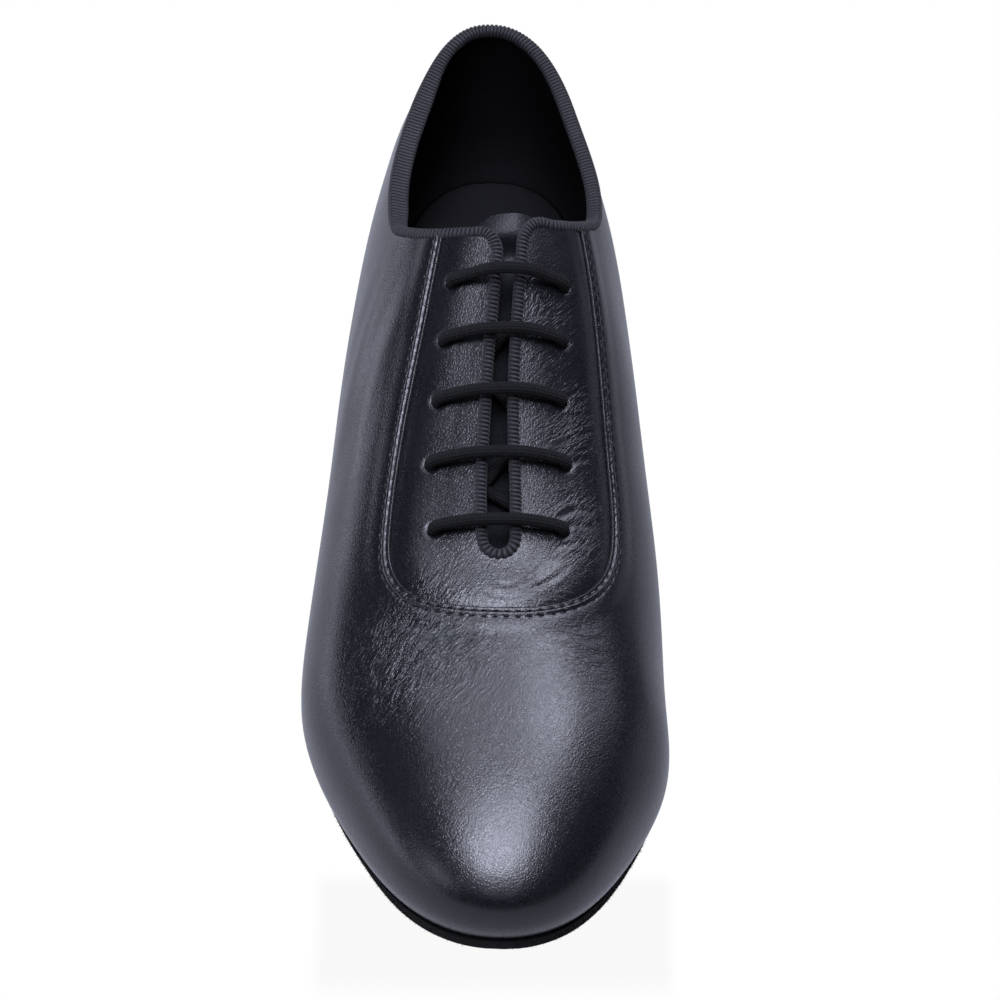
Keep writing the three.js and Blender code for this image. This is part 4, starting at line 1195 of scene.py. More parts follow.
def make_stitches():
    """Two rows of stitches round the facing seam."""
    last, pattern = Form.get()
    s = sizes()
    bpy.ops.object.select_all(action="DESELECT")
    bpy.ops.mesh.primitive_uv_sphere_add(segments=10, ring_count=8, radius=1)
    model = bpy.context.object
    stitch = np.array([v.co for v in model.data.vertices])
    faces = [tuple(p.vertices) for p in model.data.polygons]
    bpy.data.objects.remove(model)
    points = []
    polygons = []
    edge_lap = 0.45 * s.vamp_lap
    for offset in (0.0, Pattern.ROWS_APART):
        path_plan = pattern.beside(pattern.stitch, offset) if offset else pattern.stitch
        first, end = pattern.joins[LATERAL][1], pattern.joins[MEDIAL][1]
        path_plan = path_plan[first:end + 1]
        path = last.point(path_plan[:, 0], path_plan[:, 1])
        normals = last.normal(path_plan[:, 0], path_plan[:, 1])
        edge_path = pattern.seam_points(pattern.edge)
        edge_run = run_of(edge_path)
        _, run_here = nearest(edge_path, path)
        for beat in np.arange(0.5, edge_run[-1] / s.stitch_pitch, 1.0):
            index = int(np.argmin(np.abs(run_here - beat * s.stitch_pitch)))
            if index < 4 or index > len(path) - 5:
                continue
            along = unit(path[index + 3] - path[index - 3])
            normal = normals[index]
            across = np.cross(normal, along)
            along = unit(along + 0.12 * across)
            across = np.cross(normal, along)
            squared = np.sign(stitch[:, 2]) * np.abs(stitch[:, 2]) ** 0.8
            bow = 1 - squared**2
            place = path[index] + normal * (edge_lap - STITCH_SINK)
            body = (squared[:, None] * along * STITCH_HALF_LENGTH + stitch[:, :1] * across * STITCH_RADIUS
                    + (stitch[:, 1:2] * STITCH_RADIUS + bow[:, None] * STITCH_BOW) * normal)
            base = sum(len(p) for p in points)
            points.append(place + body)
            polygons += [tuple(base + i for i in face) for face in faces]
    mesh = bpy.data.meshes.new("seam_stitches")
    mesh.from_pydata(np.concatenate(points).tolist(), [], polygons)
    mesh.update()
    piece = bpy.data.objects.new("seam_stitches", mesh)
    bpy.context.scene.collection.objects.link(piece)
    piece.data.shade_smooth()
    outward_normals(piece)
    return finish_piece(piece, thread_material(), "stitch_thread")


# Sole, insole and heel

# Rounded corner of a slab, as shares of its rounding inwards and up
SLAB_CORNER = ((1.0, 1.0), (0.55, 0.9), (0.2, 0.62), (0.03, 0.25), (0, 0))


def slab_mesh(name, last, inset, bottom, top, rounding, stations=150, columns=14):
    """Slab on the sole's outline, with rounded edges, between two heights."""
    even = np.linspace(0, 1, stations)
    u = 0.25 * even + 0.75 * (1 - np.cos(math.pi * even)) / 2
    rings = []
    for side in (LATERAL, MEDIAL):
        layers = []
        profile = [(w, top, h - 1) for w, h in SLAB_CORNER]
        profile += [(w, bottom, 1 - h) for w, h in reversed(SLAB_CORNER)]
        for way, level, height in profile:
            x, y = last.sole_edge(u, side, inset + rounding * way)
            layers.append(np.stack([x, y, level(last.share_at(y)) + rounding * height], -1))
        rings.append(np.stack(layers, 1))
    lateral, medial = rings
    across = np.linspace(0, 1, columns)[1:-1]
    upper = lateral[:, :1] + (medial[:, :1] - lateral[:, :1]) * across[None, :, None]
    lower = medial[:, -1:] + (lateral[:, -1:] - medial[:, -1:]) * across[None, :, None]
    whole = np.concatenate([lateral[:, ::-1], upper, medial, lower, lateral[:, -1:]], 1)
    piece = grid_mesh(name, whole)
    weld(piece, 2e-6)
    close_holes(piece)
    outward_normals(piece)
    return piece


def make_outsole():
    last, _ = Form.get()
    piece = slab_mesh("outsole", last, 0.0, last.underside, last.seat, 0.5 * MM, stations=220)
    add_nap(piece, last)
    return finish_piece(piece, suede_material(), "sole_suede", "outsole")


def add_nap(piece, last):
    """Short fibres that stand out of the cut edge of the suede."""
    rng = np.random.default_rng(7)
    count = 5200
    u = rng.random(count)
    side = np.where(rng.random(count) < 0.5, LATERAL, MEDIAL)
    u = np.where(rng.random(count) < 0.45, 1 - 0.32 * rng.random(count) ** 1.3, u)
    x = np.empty(count)
    y = np.empty(count)
    x_in = np.empty(count)
    y_in = np.empty(count)
    for way in (LATERAL, MEDIAL):
        mine = side == way
        x[mine], y[mine] = last.sole_edge(u[mine], way, 0.15 * MM)
        x_in[mine], y_in[mine] = last.sole_edge(u[mine], way, 1.15 * MM)
    t = last.share_at(y)
    z = last.underside(t) + (0.12 + 0.7 * rng.random(count)) * last.sole
    out = unit(np.stack([x - x_in, y - y_in, np.zeros(count)], -1))
    out = unit(out + rng.normal(0, 0.35, (count, 3)) + np.array([0, 0, -0.12]))
    length = (0.35 + 0.65 * rng.random(count)) * MM
    thick = 0.075 * MM
    root = np.stack([x, y, z], -1)
    side_way = unit(np.cross(out, np.array([0, 0, 1.0])))
    up = np.cross(side_way, out)
    behind = root - side_way * thick / 2
    tip = root + out * length[:, None] + up * rng.normal(0, 0.12, (count, 1)) * MM
    corners = [root + side_way * thick, behind + up * thick, behind - up * thick, tip]
    points = np.maximum(np.stack(corners, 1).reshape(-1, 3), np.array([-1, -1, 0.02 * MM]))
    base = 4 * np.arange(count)[:, None]
    faces = np.concatenate([base + np.array(f) for f in ((0, 1, 3), (1, 2, 3), (2, 0, 3), (0, 2, 1))])
    hairs = plain_mesh("nap", points, faces)
    bpy.ops.object.select_all(action="DESELECT")
    hairs.select_set(True)
    piece.select_set(True)
    bpy.context.view_layer.objects.active = piece
    bpy.ops.object.join()


def make_insole():
    last, _ = Form.get()
    inset = last.FEATHER_INSET + sizes().upper_wall + 0.5 * MM
    bottom = lambda t: last.seat(t) + last.CLEARANCE
    piece = slab_mesh("insole", last, inset, bottom, lambda t: bottom(t) + 2 * MM, 0.4 * MM)
    return finish_piece(piece, lining_material(), "lining_leather", "insole")


HEEL_TAPER = 0.09


def heel_outline(last, taper):
    """Closed plan outline of the heel, with its straight breast, and the share at the seat."""
    room = last.length - last.SOLE_INSET_HEEL - last.SOLE_INSET_TOE
    breast = sizes().heel_length / room
    _, middle = last.sole_edge(np.array([breast / 2]), MEDIAL, 0.0)
    shrink = 1 - HEEL_TAPER * taper
    turn = np.linspace(0, 1, 46)
    u = breast * (1 - np.cos(math.pi / 2 * turn))
    xl, yl = last.sole_edge(u, LATERAL)
    xm, ym = last.sole_edge(u, MEDIAL)
    front = np.linspace(0, 1, 14)[1:-1]
    x = np.concatenate([xl[::-1], xm[1:], xm[-1] + (xl[-1] - xm[-1]) * front])
    y = np.concatenate([yl[::-1], ym[1:], ym[-1] + (yl[-1] - ym[-1]) * front])
    seat = last.share_at(y)
    centre = last.axis(seat)
    return np.stack([centre + (x - centre) * shrink, middle[0] + (y - middle[0]) * shrink, seat], -1)


def raised_block(name, levels):
    """Block drawn up level by level from a filled outline, then rounded at its edges."""
    count = len(levels[0])
    bpy.ops.object.select_all(action="DESELECT")
    bpy.ops.mesh.primitive_circle_add(vertices=count, radius=50 * MM, fill_type="NGON")
    piece = bpy.context.object
    piece.name = name
    piece.data.name = name
    bpy.ops.object.mode_set(mode="EDIT")
    bpy.ops.mesh.select_all(action="SELECT")
    for _ in levels[1:]:
        bpy.ops.mesh.extrude_region_move(TRANSFORM_OT_translate={"value": (0, 0, 1 * MM)})
    bpy.ops.object.mode_set(mode="OBJECT")
    places = np.array([v.co for v in piece.data.vertices])
    rank = np.round(places[:, 2] / MM).astype(int)
    angle = np.round(np.arctan2(places[:, 1], places[:, 0]) / (2 * math.pi) * count).astype(int)
    start = np.round(np.arctan2(places[0, 1], places[0, 0]) / (2 * math.pi) * count).astype(int)
    for index, (level, place) in enumerate(zip(rank, (angle - start) % count)):
        piece.data.vertices[index].co = levels[level][place]
    outward_normals(piece)
    apply_modifier(piece, "BEVEL", width=0.7 * MM, segments=4, limit_method="ANGLE", angle_limit=0.9)
    only(piece)
    bpy.ops.object.shade_smooth_by_angle(angle=0.9)
    return piece


TOP_PIECE_THICKNESS = 5 * MM

# Sides of the heel: height is a share of its own, taper of how far it has narrowed there
HEEL_SIDES = table(
    "height taper",
    (0.0, 1.0), (0.05, 0.99), (0.2, 0.93), (0.4, 0.81), (0.6, 0.62), (0.8, 0.36), (0.93, 0.13), (1.0, 0.0),
)


def make_heel():
    last, _ = Form.get()
    bottom = TOP_PIECE_THICKNESS + last.CLEARANCE
    levels = []
    for row in HEEL_SIDES:
        outline = heel_outline(last, row["taper"])
        seat = last.underside(outline[:, 2]) - last.CLEARANCE
        z = bottom + (seat - bottom) * row["height"]
        levels.append(np.stack([outline[:, 0], outline[:, 1], z], -1))
    piece = raised_block("heel", levels)
    return finish_piece(piece, heel_material(), "heel_cover", "heel")


def make_top_piece():
    last, _ = Form.get()
    outline = heel_outline(last, 1.0)
    levels = [np.stack([outline[:, 0], outline[:, 1], np.full(len(outline), z)], -1)
              for z in (0.0, TOP_PIECE_THICKNESS / 2, TOP_PIECE_THICKNESS)]
    piece = raised_block("heel_top_piece", levels)
    return finish_piece(piece, rubber_material(), "top_piece", "heel_top_piece")


# Materials

class Nodes:
    """Short hand for placing and joining shader nodes."""

    def __init__(self, tree):
        self.tree = tree
        self.across = 0

    def add(self, kind, **values):
        node = self.tree.nodes.new(kind)
        node.location = (self.across, 0)
        self.across += 180
        for key, value in values.items():
            setattr(node, key, value)
        return node

    def join(self, source, target):
        self.tree.links.new(source, target)

    def feed(self, target, value):
        if isinstance(value, bpy.types.NodeSocket):
            self.join(value, target)
        else:
            target.default_value = value

    def math(self, operation, *values):
        node = self.add("ShaderNodeMath", operation=operation)
        for socket, value in zip(node.inputs, values):
            self.feed(socket, value)
        return node.outputs[0]

    def noise(self, vector, scale, detail=2.0, roughness=0.5):
        node = self.add("ShaderNodeTexNoise")
        self.join(vector, node.inputs["Vector"])
        for name, value in (("Scale", scale), ("Detail", detail), ("Roughness", roughness)):
            self.feed(node.inputs[name], value)
        return node.outputs["Fac"]

    def cells(self, vector, scale):
        """Distance to the edges of irregular cells."""
        node = self.add("ShaderNodeTexVoronoi", feature="DISTANCE_TO_EDGE")
        self.join(vector, node.inputs["Vector"])
        self.feed(node.inputs["Scale"], scale)
        return node.outputs["Distance"]

    def ranged(self, value, from_low, from_high, to_low, to_high, smooth=False):
        node = self.add("ShaderNodeMapRange", interpolation_type="SMOOTHSTEP" if smooth else "LINEAR")
        for name, item in (("Value", value), ("From Min", from_low), ("From Max", from_high),
                           ("To Min", to_low), ("To Max", to_high)):
            self.feed(node.inputs[name], item)
        return node.outputs[0]

    def mix(self, share, a, b):
        node = self.add("ShaderNodeMix", data_type="RGBA")
        self.feed(node.inputs["Factor"], share)
        self.feed(node.inputs[6], a)
        self.feed(node.inputs[7], b)
        return node.outputs[2]

    def mapped(self, vector, rotation=(0, 0, 0), scale=(1, 1, 1)):
        node = self.add("ShaderNodeMapping")
        self.join(vector, node.inputs["Vector"])
        node.inputs["Rotation"].default_value = rotation
        node.inputs["Scale"].default_value = scale
        return node.outputs[0]


def node_group(name, inputs, outputs, build):
    """Shader node group with named float, colour or vector sockets, built once."""
    if name in bpy.data.node_groups:
        return bpy.data.node_groups[name]
    tree = bpy.data.node_groups.new(name, "ShaderNodeTree")
    for label, kind, default in inputs:
        socket = tree.interface.new_socket(label, in_out="INPUT", socket_type=kind)
        if default is not None:
            socket.default_value = default
    for label, kind in outputs:
        tree.interface.new_socket(label, in_out="OUTPUT", socket_type=kind)
    nodes = Nodes(tree)
    source = nodes.add("NodeGroupInput")
    target = nodes.add("NodeGroupOutput")
    build(nodes, source.outputs, target.inputs)
    return tree


def use_group(nodes, tree, **values):
    node = nodes.add("ShaderNodeGroup")
    node.node_tree = tree
    for key, value in values.items():
        nodes.feed(node.inputs[key.replace("_", " ")], value)
    return node.outputs


def grain_group():
    """Pebbled leather grain: raised pebbles between fine furrows, and pores."""
    def build(nodes, source, target):
        scale = nodes.math("DIVIDE", 1.0, source["Pebble size"])
        drift = nodes.add("ShaderNodeTexNoise")
        nodes.join(source["Vector"], drift.inputs["Vector"])
        nodes.join(nodes.math("MULTIPLY", scale, 0.45), drift.inputs["Scale"])
        shifted = nodes.add("ShaderNodeVectorMath", operation="MULTIPLY_ADD")
        nodes.join(drift.outputs["Color"], shifted.inputs[0])
        spread = nodes.math("MULTIPLY", source["Pebble size"], 1.1)
        combine = nodes.add("ShaderNodeCombineXYZ")
        for axis in range(3):
            nodes.join(spread, combine.inputs[axis])
        nodes.join(combine.outputs[0], shifted.inputs[1])
        nodes.join(source["Vector"], shifted.inputs[2])
        pebbles = nodes.cells(shifted.outputs[0], scale)
        raised = nodes.ranged(pebbles, 0.0, 0.32, 0.0, 1.0, smooth=True)
        fine = nodes.noise(source["Vector"], nodes.math("MULTIPLY", scale, 2.3), detail=3.0, roughness=0.6)
        broad = nodes.noise(source["Vector"], nodes.math("MULTIPLY", scale, 0.22), detail=2.0)
        both = nodes.math("ADD", nodes.math("MULTIPLY", raised, 0.7), nodes.math("MULTIPLY", fine, 0.15))
        height = nodes.math("ADD", both, nodes.math("MULTIPLY", broad, 0.3))
        nodes.join(height, target["Height"])
        nodes.join(raised, target["Pebbles"])
    return node_group(
        "Leather grain",
        [("Vector", "NodeSocketVector", None), ("Pebble size", "NodeSocketFloat", 0.001)],
        [("Height", "NodeSocketFloat"), ("Pebbles", "NodeSocketFloat")], build)


def wear_group():
    """Uneven sheen: broad cloudy patches and small rubbed spots."""
    def build(nodes, source, target):
        clouds = nodes.noise(source["Vector"], source["Scale"], detail=4.0, roughness=0.6)
        spots = nodes.noise(source["Vector"], nodes.math("MULTIPLY", source["Scale"], 9.0), detail=3.0)
        patch = nodes.ranged(clouds, 0.35, 0.65, 0.0, 1.0, smooth=True)
        speck = nodes.ranged(spots, 0.45, 0.75, 0.0, 1.0, smooth=True)
        nodes.join(patch, target["Patches"])
        nodes.join(speck, target["Specks"])
    return node_group(
        "Uneven sheen",
        [("Vector", "NodeSocketVector", None), ("Scale", "NodeSocketFloat", 25.0)],
        [("Patches", "NodeSocketFloat"), ("Specks", "NodeSocketFloat")], build)


def new_material(name):
    material = bpy.data.materials.get(name)
    if material:
        return material, None, None
    material = bpy.data.materials.new(name)
    material.use_nodes = True
    material.node_tree.nodes.clear()
    nodes = Nodes(material.node_tree)
    shader = nodes.add("ShaderNodeBsdfPrincipled")
    output = nodes.add("ShaderNodeOutputMaterial")
    nodes.join(shader.outputs[0], output.inputs["Surface"])
    return material, nodes, shader


def bumped(nodes, height, distance, strength=1.0, before=None):
    bump = nodes.add("ShaderNodeBump")
    bump.inputs["Strength"].default_value = strength
    bump.inputs["Distance"].default_value = distance
    nodes.join(height, bump.inputs["Height"])
    if before is not None:
        nodes.join(before, bump.inputs["Normal"])
    return bump.outputs[0]


def tinted(colour, factor):
    return tuple(min(1.0, c * factor) for c in colour) + (1.0,)


def wrinkle_group():
    """Fine wrinkles drawn out along one direction of the plan."""
    def build(nodes, source, target):
        bend = nodes.add("ShaderNodeTexNoise")
        nodes.join(source["Vector"], bend.inputs["Vector"])
        bend.inputs["Scale"].default_value = 90.0
        shifted = nodes.add("ShaderNodeVectorMath", operation="MULTIPLY_ADD")
        nodes.join(bend.outputs["Color"], shifted.inputs[0])
        shifted.inputs[1].default_value = (0.005, 0.005, 0.005)
        nodes.join(source["Vector"], shifted.inputs[2])
        turned = nodes.mapped(shifted.outputs[0])
        nodes.join(source["Turn"], turned.node.inputs["Rotation"])
        drawn = nodes.mapped(turned, scale=(1.0, 0.13, 0.7))
        total = None
        for scale, share in ((620.0, 1.0), (1000.0, 0.4)):
            wave = nodes.noise(drawn, scale, detail=2.0, roughness=0.6)
            off = nodes.math("ABSOLUTE", nodes.math("SUBTRACT", wave, 0.5))
            ridge = nodes.math("MULTIPLY", nodes.ranged(off, 0.0, 0.13, 0.0, 1.0, smooth=True), share)
            total = ridge if total is None else nodes.math("ADD", total, ridge)
        nodes.join(total, target["Height"])
    return node_group(
        "Drawn wrinkles",
        [("Vector", "NodeSocketVector", None), ("Turn", "NodeSocketVector", None)],
        [("Height", "NodeSocketFloat")], build)


DIAGONAL = (0, 0, math.radians(38))
CROSSWAYS = (0, 0, math.radians(86))


def attribute_value(nodes, name):
    return nodes.add("ShaderNodeAttribute", attribute_name=name).outputs["Fac"]


def leather_finish(name, colour, roughness, coat, pebble, depth, drawn=0.0):
    """Grained leather: pebble is the grain's size, depth its height, drawn that of the wrinkles."""
    material, nodes, shader = new_material(name)
    if nodes is None:
        return material
    place = nodes.add("ShaderNodeTexCoord").outputs["Object"]
    grain = use_group(nodes, grain_group(), Vector=place, Pebble_size=pebble)
    sheen = use_group(nodes, wear_group(), Vector=place, Scale=38.0)
    normal = bumped(nodes, grain["Height"], depth)
    if drawn:
        layers = (("lengthways", DIAGONAL, 0.05), ("crossways", CROSSWAYS, 0.0))
        for label, turn, everywhere in layers:
            wrinkles = use_group(nodes, wrinkle_group(), Vector=place, Turn=turn)["Height"]
            share = nodes.math("ADD", attribute_value(nodes, label), everywhere)
            normal = bumped(nodes, nodes.math("MULTIPLY", wrinkles, share), drawn, before=normal)
    nodes.join(normal, shader.inputs["Normal"])
    tone = nodes.mix(grain["Pebbles"], tinted(colour, 0.6), tinted(colour, 1.1))
    nodes.join(tone, shader.inputs["Base Color"])
    rough = nodes.ranged(sheen["Patches"], 0, 1, roughness - 0.025, roughness + 0.035)
    rough = nodes.math("SUBTRACT", rough, nodes.math("MULTIPLY", grain["Pebbles"], 0.03))
    nodes.join(rough, shader.inputs["Roughness"])
    shader.inputs["Coat Weight"].default_value = coat
    shader.inputs["Coat Roughness"].default_value = 0.24
    return material


def leather_material():
    c = colours()
    return leather_finish("black leather", c.leather, 0.29, c.leather_gloss, 0.82 * MM, 0.043 * MM,
                          drawn=0.12 * MM)


def tongue_material():
    """The tongue's leather: glossy at its top, dull where the lace rubs and shades it."""
    c = colours()
    material = leather_finish("tongue leather", c.leather, 0.4, 0.0, 0.95 * MM, 0.03 * MM)
    nodes = Nodes(material.node_tree)
    shader = next(node for node in material.node_tree.nodes if node.type == "BSDF_PRINCIPLED")
    rough = nodes.ranged(attribute_value(nodes, "shaded"), 0, 1, 0.36, 0.95)
    nodes.join(rough, shader.inputs["Roughness"])
    shader.inputs["Specular IOR Level"].default_value = 0.2
    return material


def heel_material():
    c = colours()
    return leather_finish("heel cover leather", c.leather, 0.42, 0.2, 0.8 * MM, 0.05 * MM)


def plain_finish(name, colour, scale, low, high, depth, roughness, cloud=(), **constants):
    """Dull finish with a fine noise in its colour and height; cloud tints it in broad patches."""
    material, nodes, shader = new_material(name)
    if nodes is None:
        return material
    place = nodes.add("ShaderNodeTexCoord").outputs["Object"]
    noise = nodes.noise(place, *scale)
    tone = nodes.mix(noise, tinted(colour, low), tinted(colour, high))
    if cloud:
        size, share, tint = cloud
        patches = use_group(nodes, wear_group(), Vector=place, Scale=size)["Patches"]
        tone = nodes.mix(nodes.math("MULTIPLY", patches, share), tone, tinted(colour, tint))
    nodes.join(tone, shader.inputs["Base Color"])
    nodes.join(bumped(nodes, noise, depth), shader.inputs["Normal"])
    shader.inputs["Roughness"].default_value = roughness
    for label, value in constants.items():
        shader.inputs[label.replace("_", " ")].default_value = value
    return material


def lining_material():
    material, nodes, shader = new_material("lining leather")
    if nodes is None:
        return material
    colour = colours().lining
    place = nodes.add("ShaderNodeTexCoord").outputs["Object"]
    weave = nodes.noise(place, 2600.0, detail=2.0)
    cloud = use_group(nodes, wear_group(), Vector=place, Scale=30.0)
    nodes.join(nodes.mix(cloud["Patches"], tinted(colour, 0.8), tinted(colour, 1.2)),
               shader.inputs["Base Color"])
    nodes.join(bumped(nodes, weave, 0.06 * MM), shader.inputs["Normal"])
    shader.inputs["Roughness"].default_value = 0.85
    shader.inputs["Specular IOR Level"].default_value = 0.25
    return material


def tape_material():
    material, nodes, shader = new_material("ribbed tape")
    if nodes is None:
        return material
    colour = colours().tape
    place = nodes.add("ShaderNodeTexCoord").outputs["Object"]
    fibre = nodes.noise(place, 5200.0, detail=3.0, roughness=0.7)
    cloud = use_group(nodes, wear_group(), Vector=place, Scale=60.0)
    split = nodes.add("ShaderNodeSeparateXYZ")
    nodes.join(nodes.add("ShaderNodeTexCoord").outputs["UV"], split.inputs[0])
    beat = nodes.math("SINE", nodes.math("MULTIPLY", split.outputs["X"], math.pi))
    ridge = nodes.ranged(nodes.math("ABSOLUTE", beat), 0.2, 0.85, 0, 1, smooth=True)
    # Base colour: random fibre tone on the rib crests, and painted shade near black in the grooves between
    # the ribs
    tone = nodes.mix(fibre, tinted(colour, 1.0), tinted(colour, 4.0))
    nodes.join(nodes.mix(ridge, tinted(colour, 0.05), tone), shader.inputs["Base Color"])
    rough = nodes.ranged(cloud["Patches"], 0, 1, 0.5, 0.62)
    rough = nodes.math("ADD", rough, nodes.ranged(ridge, 0, 1, 0.35, 0.0))
    nodes.join(rough, shader.inputs["Roughness"])
    nodes.join(bumped(nodes, fibre, 0.1 * MM), shader.inputs["Normal"])
    shader.inputs["Specular IOR Level"].default_value = 0.4
    shader.inputs["Sheen Weight"].default_value = 0.14
    return material


def cord_material():
    material, nodes, shader = new_material("braided cord")
    if nodes is None:
        return material
    colour = colours().cord
    coords = nodes.add("ShaderNodeTexCoord")
    place = coords.outputs["Object"]
    fibre = nodes.noise(place, 5500.0, detail=3.0, roughness=0.7)
    split = nodes.add("ShaderNodeSeparateXYZ")
    nodes.join(coords.outputs["UV"], split.inputs[0])
    strands = 2 * math.pi * 6
    slants = [nodes.math(way, split.outputs[1], split.outputs[0]) for way in ("ADD", "SUBTRACT")]
    waves = [nodes.math("SINE", nodes.math("MULTIPLY", slant, strands)) for slant in slants]
    plait = nodes.ranged(nodes.math("MULTIPLY", *waves), -1, 1, 0, 1)
    fuzz = nodes.noise(place, 1700.0, detail=3.0, roughness=0.7)
    height = nodes.math("ADD", plait, nodes.math("MULTIPLY", nodes.math("ADD", fibre, fuzz), 0.9))
    nodes.join(bumped(nodes, height, 0.34 * MM), shader.inputs["Normal"])
    # Base colour: painted shade dark in the grooves between the braid's strands and lighter on the strand
    # tops, with lighter random fuzz
    tone = nodes.mix(plait, tinted(colour, 0.2), tinted(colour, 1.6))
    nodes.join(nodes.mix(nodes.ranged(fuzz, 0.35, 0.7, 0, 1), tone, tinted(colour, 1.5)),
               shader.inputs["Base Color"])
    rough = nodes.ranged(fibre, 0, 1, 0.7, 0.85)
    nodes.join(rough, shader.inputs["Roughness"])
    shader.inputs["Specular IOR Level"].default_value = 0.35
    return material


def thread_material():
    return plain_finish("seam thread", colours().thread, (4000.0, 2.0), 0.3, 0.8, 0.08 * MM, 0.75,
                        Specular_IOR_Level=0.2)


def suede_material():
    return plain_finish("napped suede", colours().suede, (2400.0, 5.0, 0.75), 0.5, 2.2, 0.35 * MM, 0.95,
                        cloud=(45.0, 0.35, 2.0), Specular_IOR_Level=0.12, Sheen_Weight=0.08)


def rubber_material():
    return plain_finish("top piece rubber", colours().rubber, (1500.0, 4.0, 0.65), 0.8, 1.4, 0.08 * MM, 0.8)


# Stage

# The photo's view: angles in degrees, distance and aim height in metres, lens in millimetres
CAMERA = {"elevation": 43.125, "azimuth": 0.28, "distance": 1.6, "aim_height": 0.05, "lens": 202.35,
          "shift_x": 0.00323, "shift_y": -0.0207}


def make_camera():
    last, _ = Form.get()
    elevation = math.radians(CAMERA["elevation"])
    azimuth = math.radians(CAMERA["azimuth"])
    aim = Vector((last.shift, 0, CAMERA["aim_height"]))
    back = Vector((math.sin(azimuth) * math.cos(elevation), -math.cos(azimuth) * math.cos(elevation),
                   math.sin(elevation)))
    data = bpy.data.cameras.new("camera")
    data.sensor_width = 36
    data.lens = CAMERA["lens"]
    data.shift_x = CAMERA["shift_x"]
    data.shift_y = CAMERA["shift_y"]
    data.clip_start = 0.05
    data.clip_end = 50
    camera = bpy.data.objects.new("camera", data)
    bpy.context.scene.collection.objects.link(camera)
    camera.location = aim + back * CAMERA["distance"]
    camera.rotation_euler = (-back).to_track_quat("-Z", "Y").to_euler()
    bpy.context.scene.camera = camera


def direction(azimuth, elevation):
    """Unit vector from the shoe, azimuth from straight ahead of the toe towards the right."""
    a, e = math.radians(azimuth), math.radians(elevation)
    return (math.sin(a) * math.cos(e), -math.cos(a) * math.cos(e), math.sin(e))


# Pale panels hung round the shoe in a dark studio: radius is where each fades out, in degrees
PANELS = table(
    "azimuth elevation radius level",
    (-12, 72, 16, 13.0), (0, 80, 12, 4.0), (60, 84, 10, 11.0), (140, 65, 14, 10.0),
    (-140, 65, 14, 2.6), (180, 65, 14, 2.0), (135, 40, 17, 2.4), (-60, 26, 17, 1.8),
    (-5, 46, 20, 0.9), (112, 3, 14, 0.5),
    (-66, -6, 18, 1.2), (-90, -6, 18, 2.6), (-118, -6, 18, 2.4),
)
STUDIO_TINT = (0.97, 1.0, 1.22)


def panel_light(nodes, place, panels):
    total = None
    for row in panels:
        facing = nodes.add("ShaderNodeVectorMath", operation="DOT_PRODUCT")
        nodes.join(place, facing.inputs[0])
        facing.inputs[1].default_value = direction(row["azimuth"], row["elevation"])
        rim = math.cos(math.radians(row["radius"]))
        part = nodes.ranged(facing.outputs["Value"], rim, 1.0, 0.0, row["level"], smooth=True)
        total = part if total is None else nodes.math("ADD", total, part)
    return total


def make_world():
    """Studio round the shoe: white to the eye, panels and dim walls to the leather."""
    world = bpy.data.worlds.new("studio")
    bpy.context.scene.world = world
    world.use_nodes = True
    world.node_tree.nodes.clear()
    nodes = Nodes(world.node_tree)
    place = nodes.add("ShaderNodeTexCoord").outputs["Generated"]
    level = panel_light(nodes, place, PANELS)
    lit = nodes.add("ShaderNodeBackground")
    lit.inputs["Color"].default_value = (*STUDIO_TINT, 1)
    nodes.join(level, lit.inputs["Strength"])
    seen = nodes.add("ShaderNodeBackground")
    seen.inputs["Color"].default_value = (1, 1, 1, 1)
    path = nodes.add("ShaderNodeLightPath")
    blend = nodes.add("ShaderNodeMixShader")
    nodes.join(path.outputs["Is Camera Ray"], blend.inputs[0])
    nodes.join(lit.outputs[0], blend.inputs[1])
    nodes.join(seen.outputs[0], blend.inputs[2])
    output = nodes.add("ShaderNodeOutputWorld")
    nodes.join(blend.outputs[0], output.inputs[0])


# Faint mirrored shade of the toe on the floor, in metres, and how much it takes away
SHADE_MIDDLE = 3 * MM
SHADE_ASIDE = (46 * MM, 51 * MM)
SHADE_AHEAD = (-158 * MM, -142 * MM)
SHADE_BEHIND = (-112 * MM, -104 * MM)
SHADE_DEPTH = 0.06


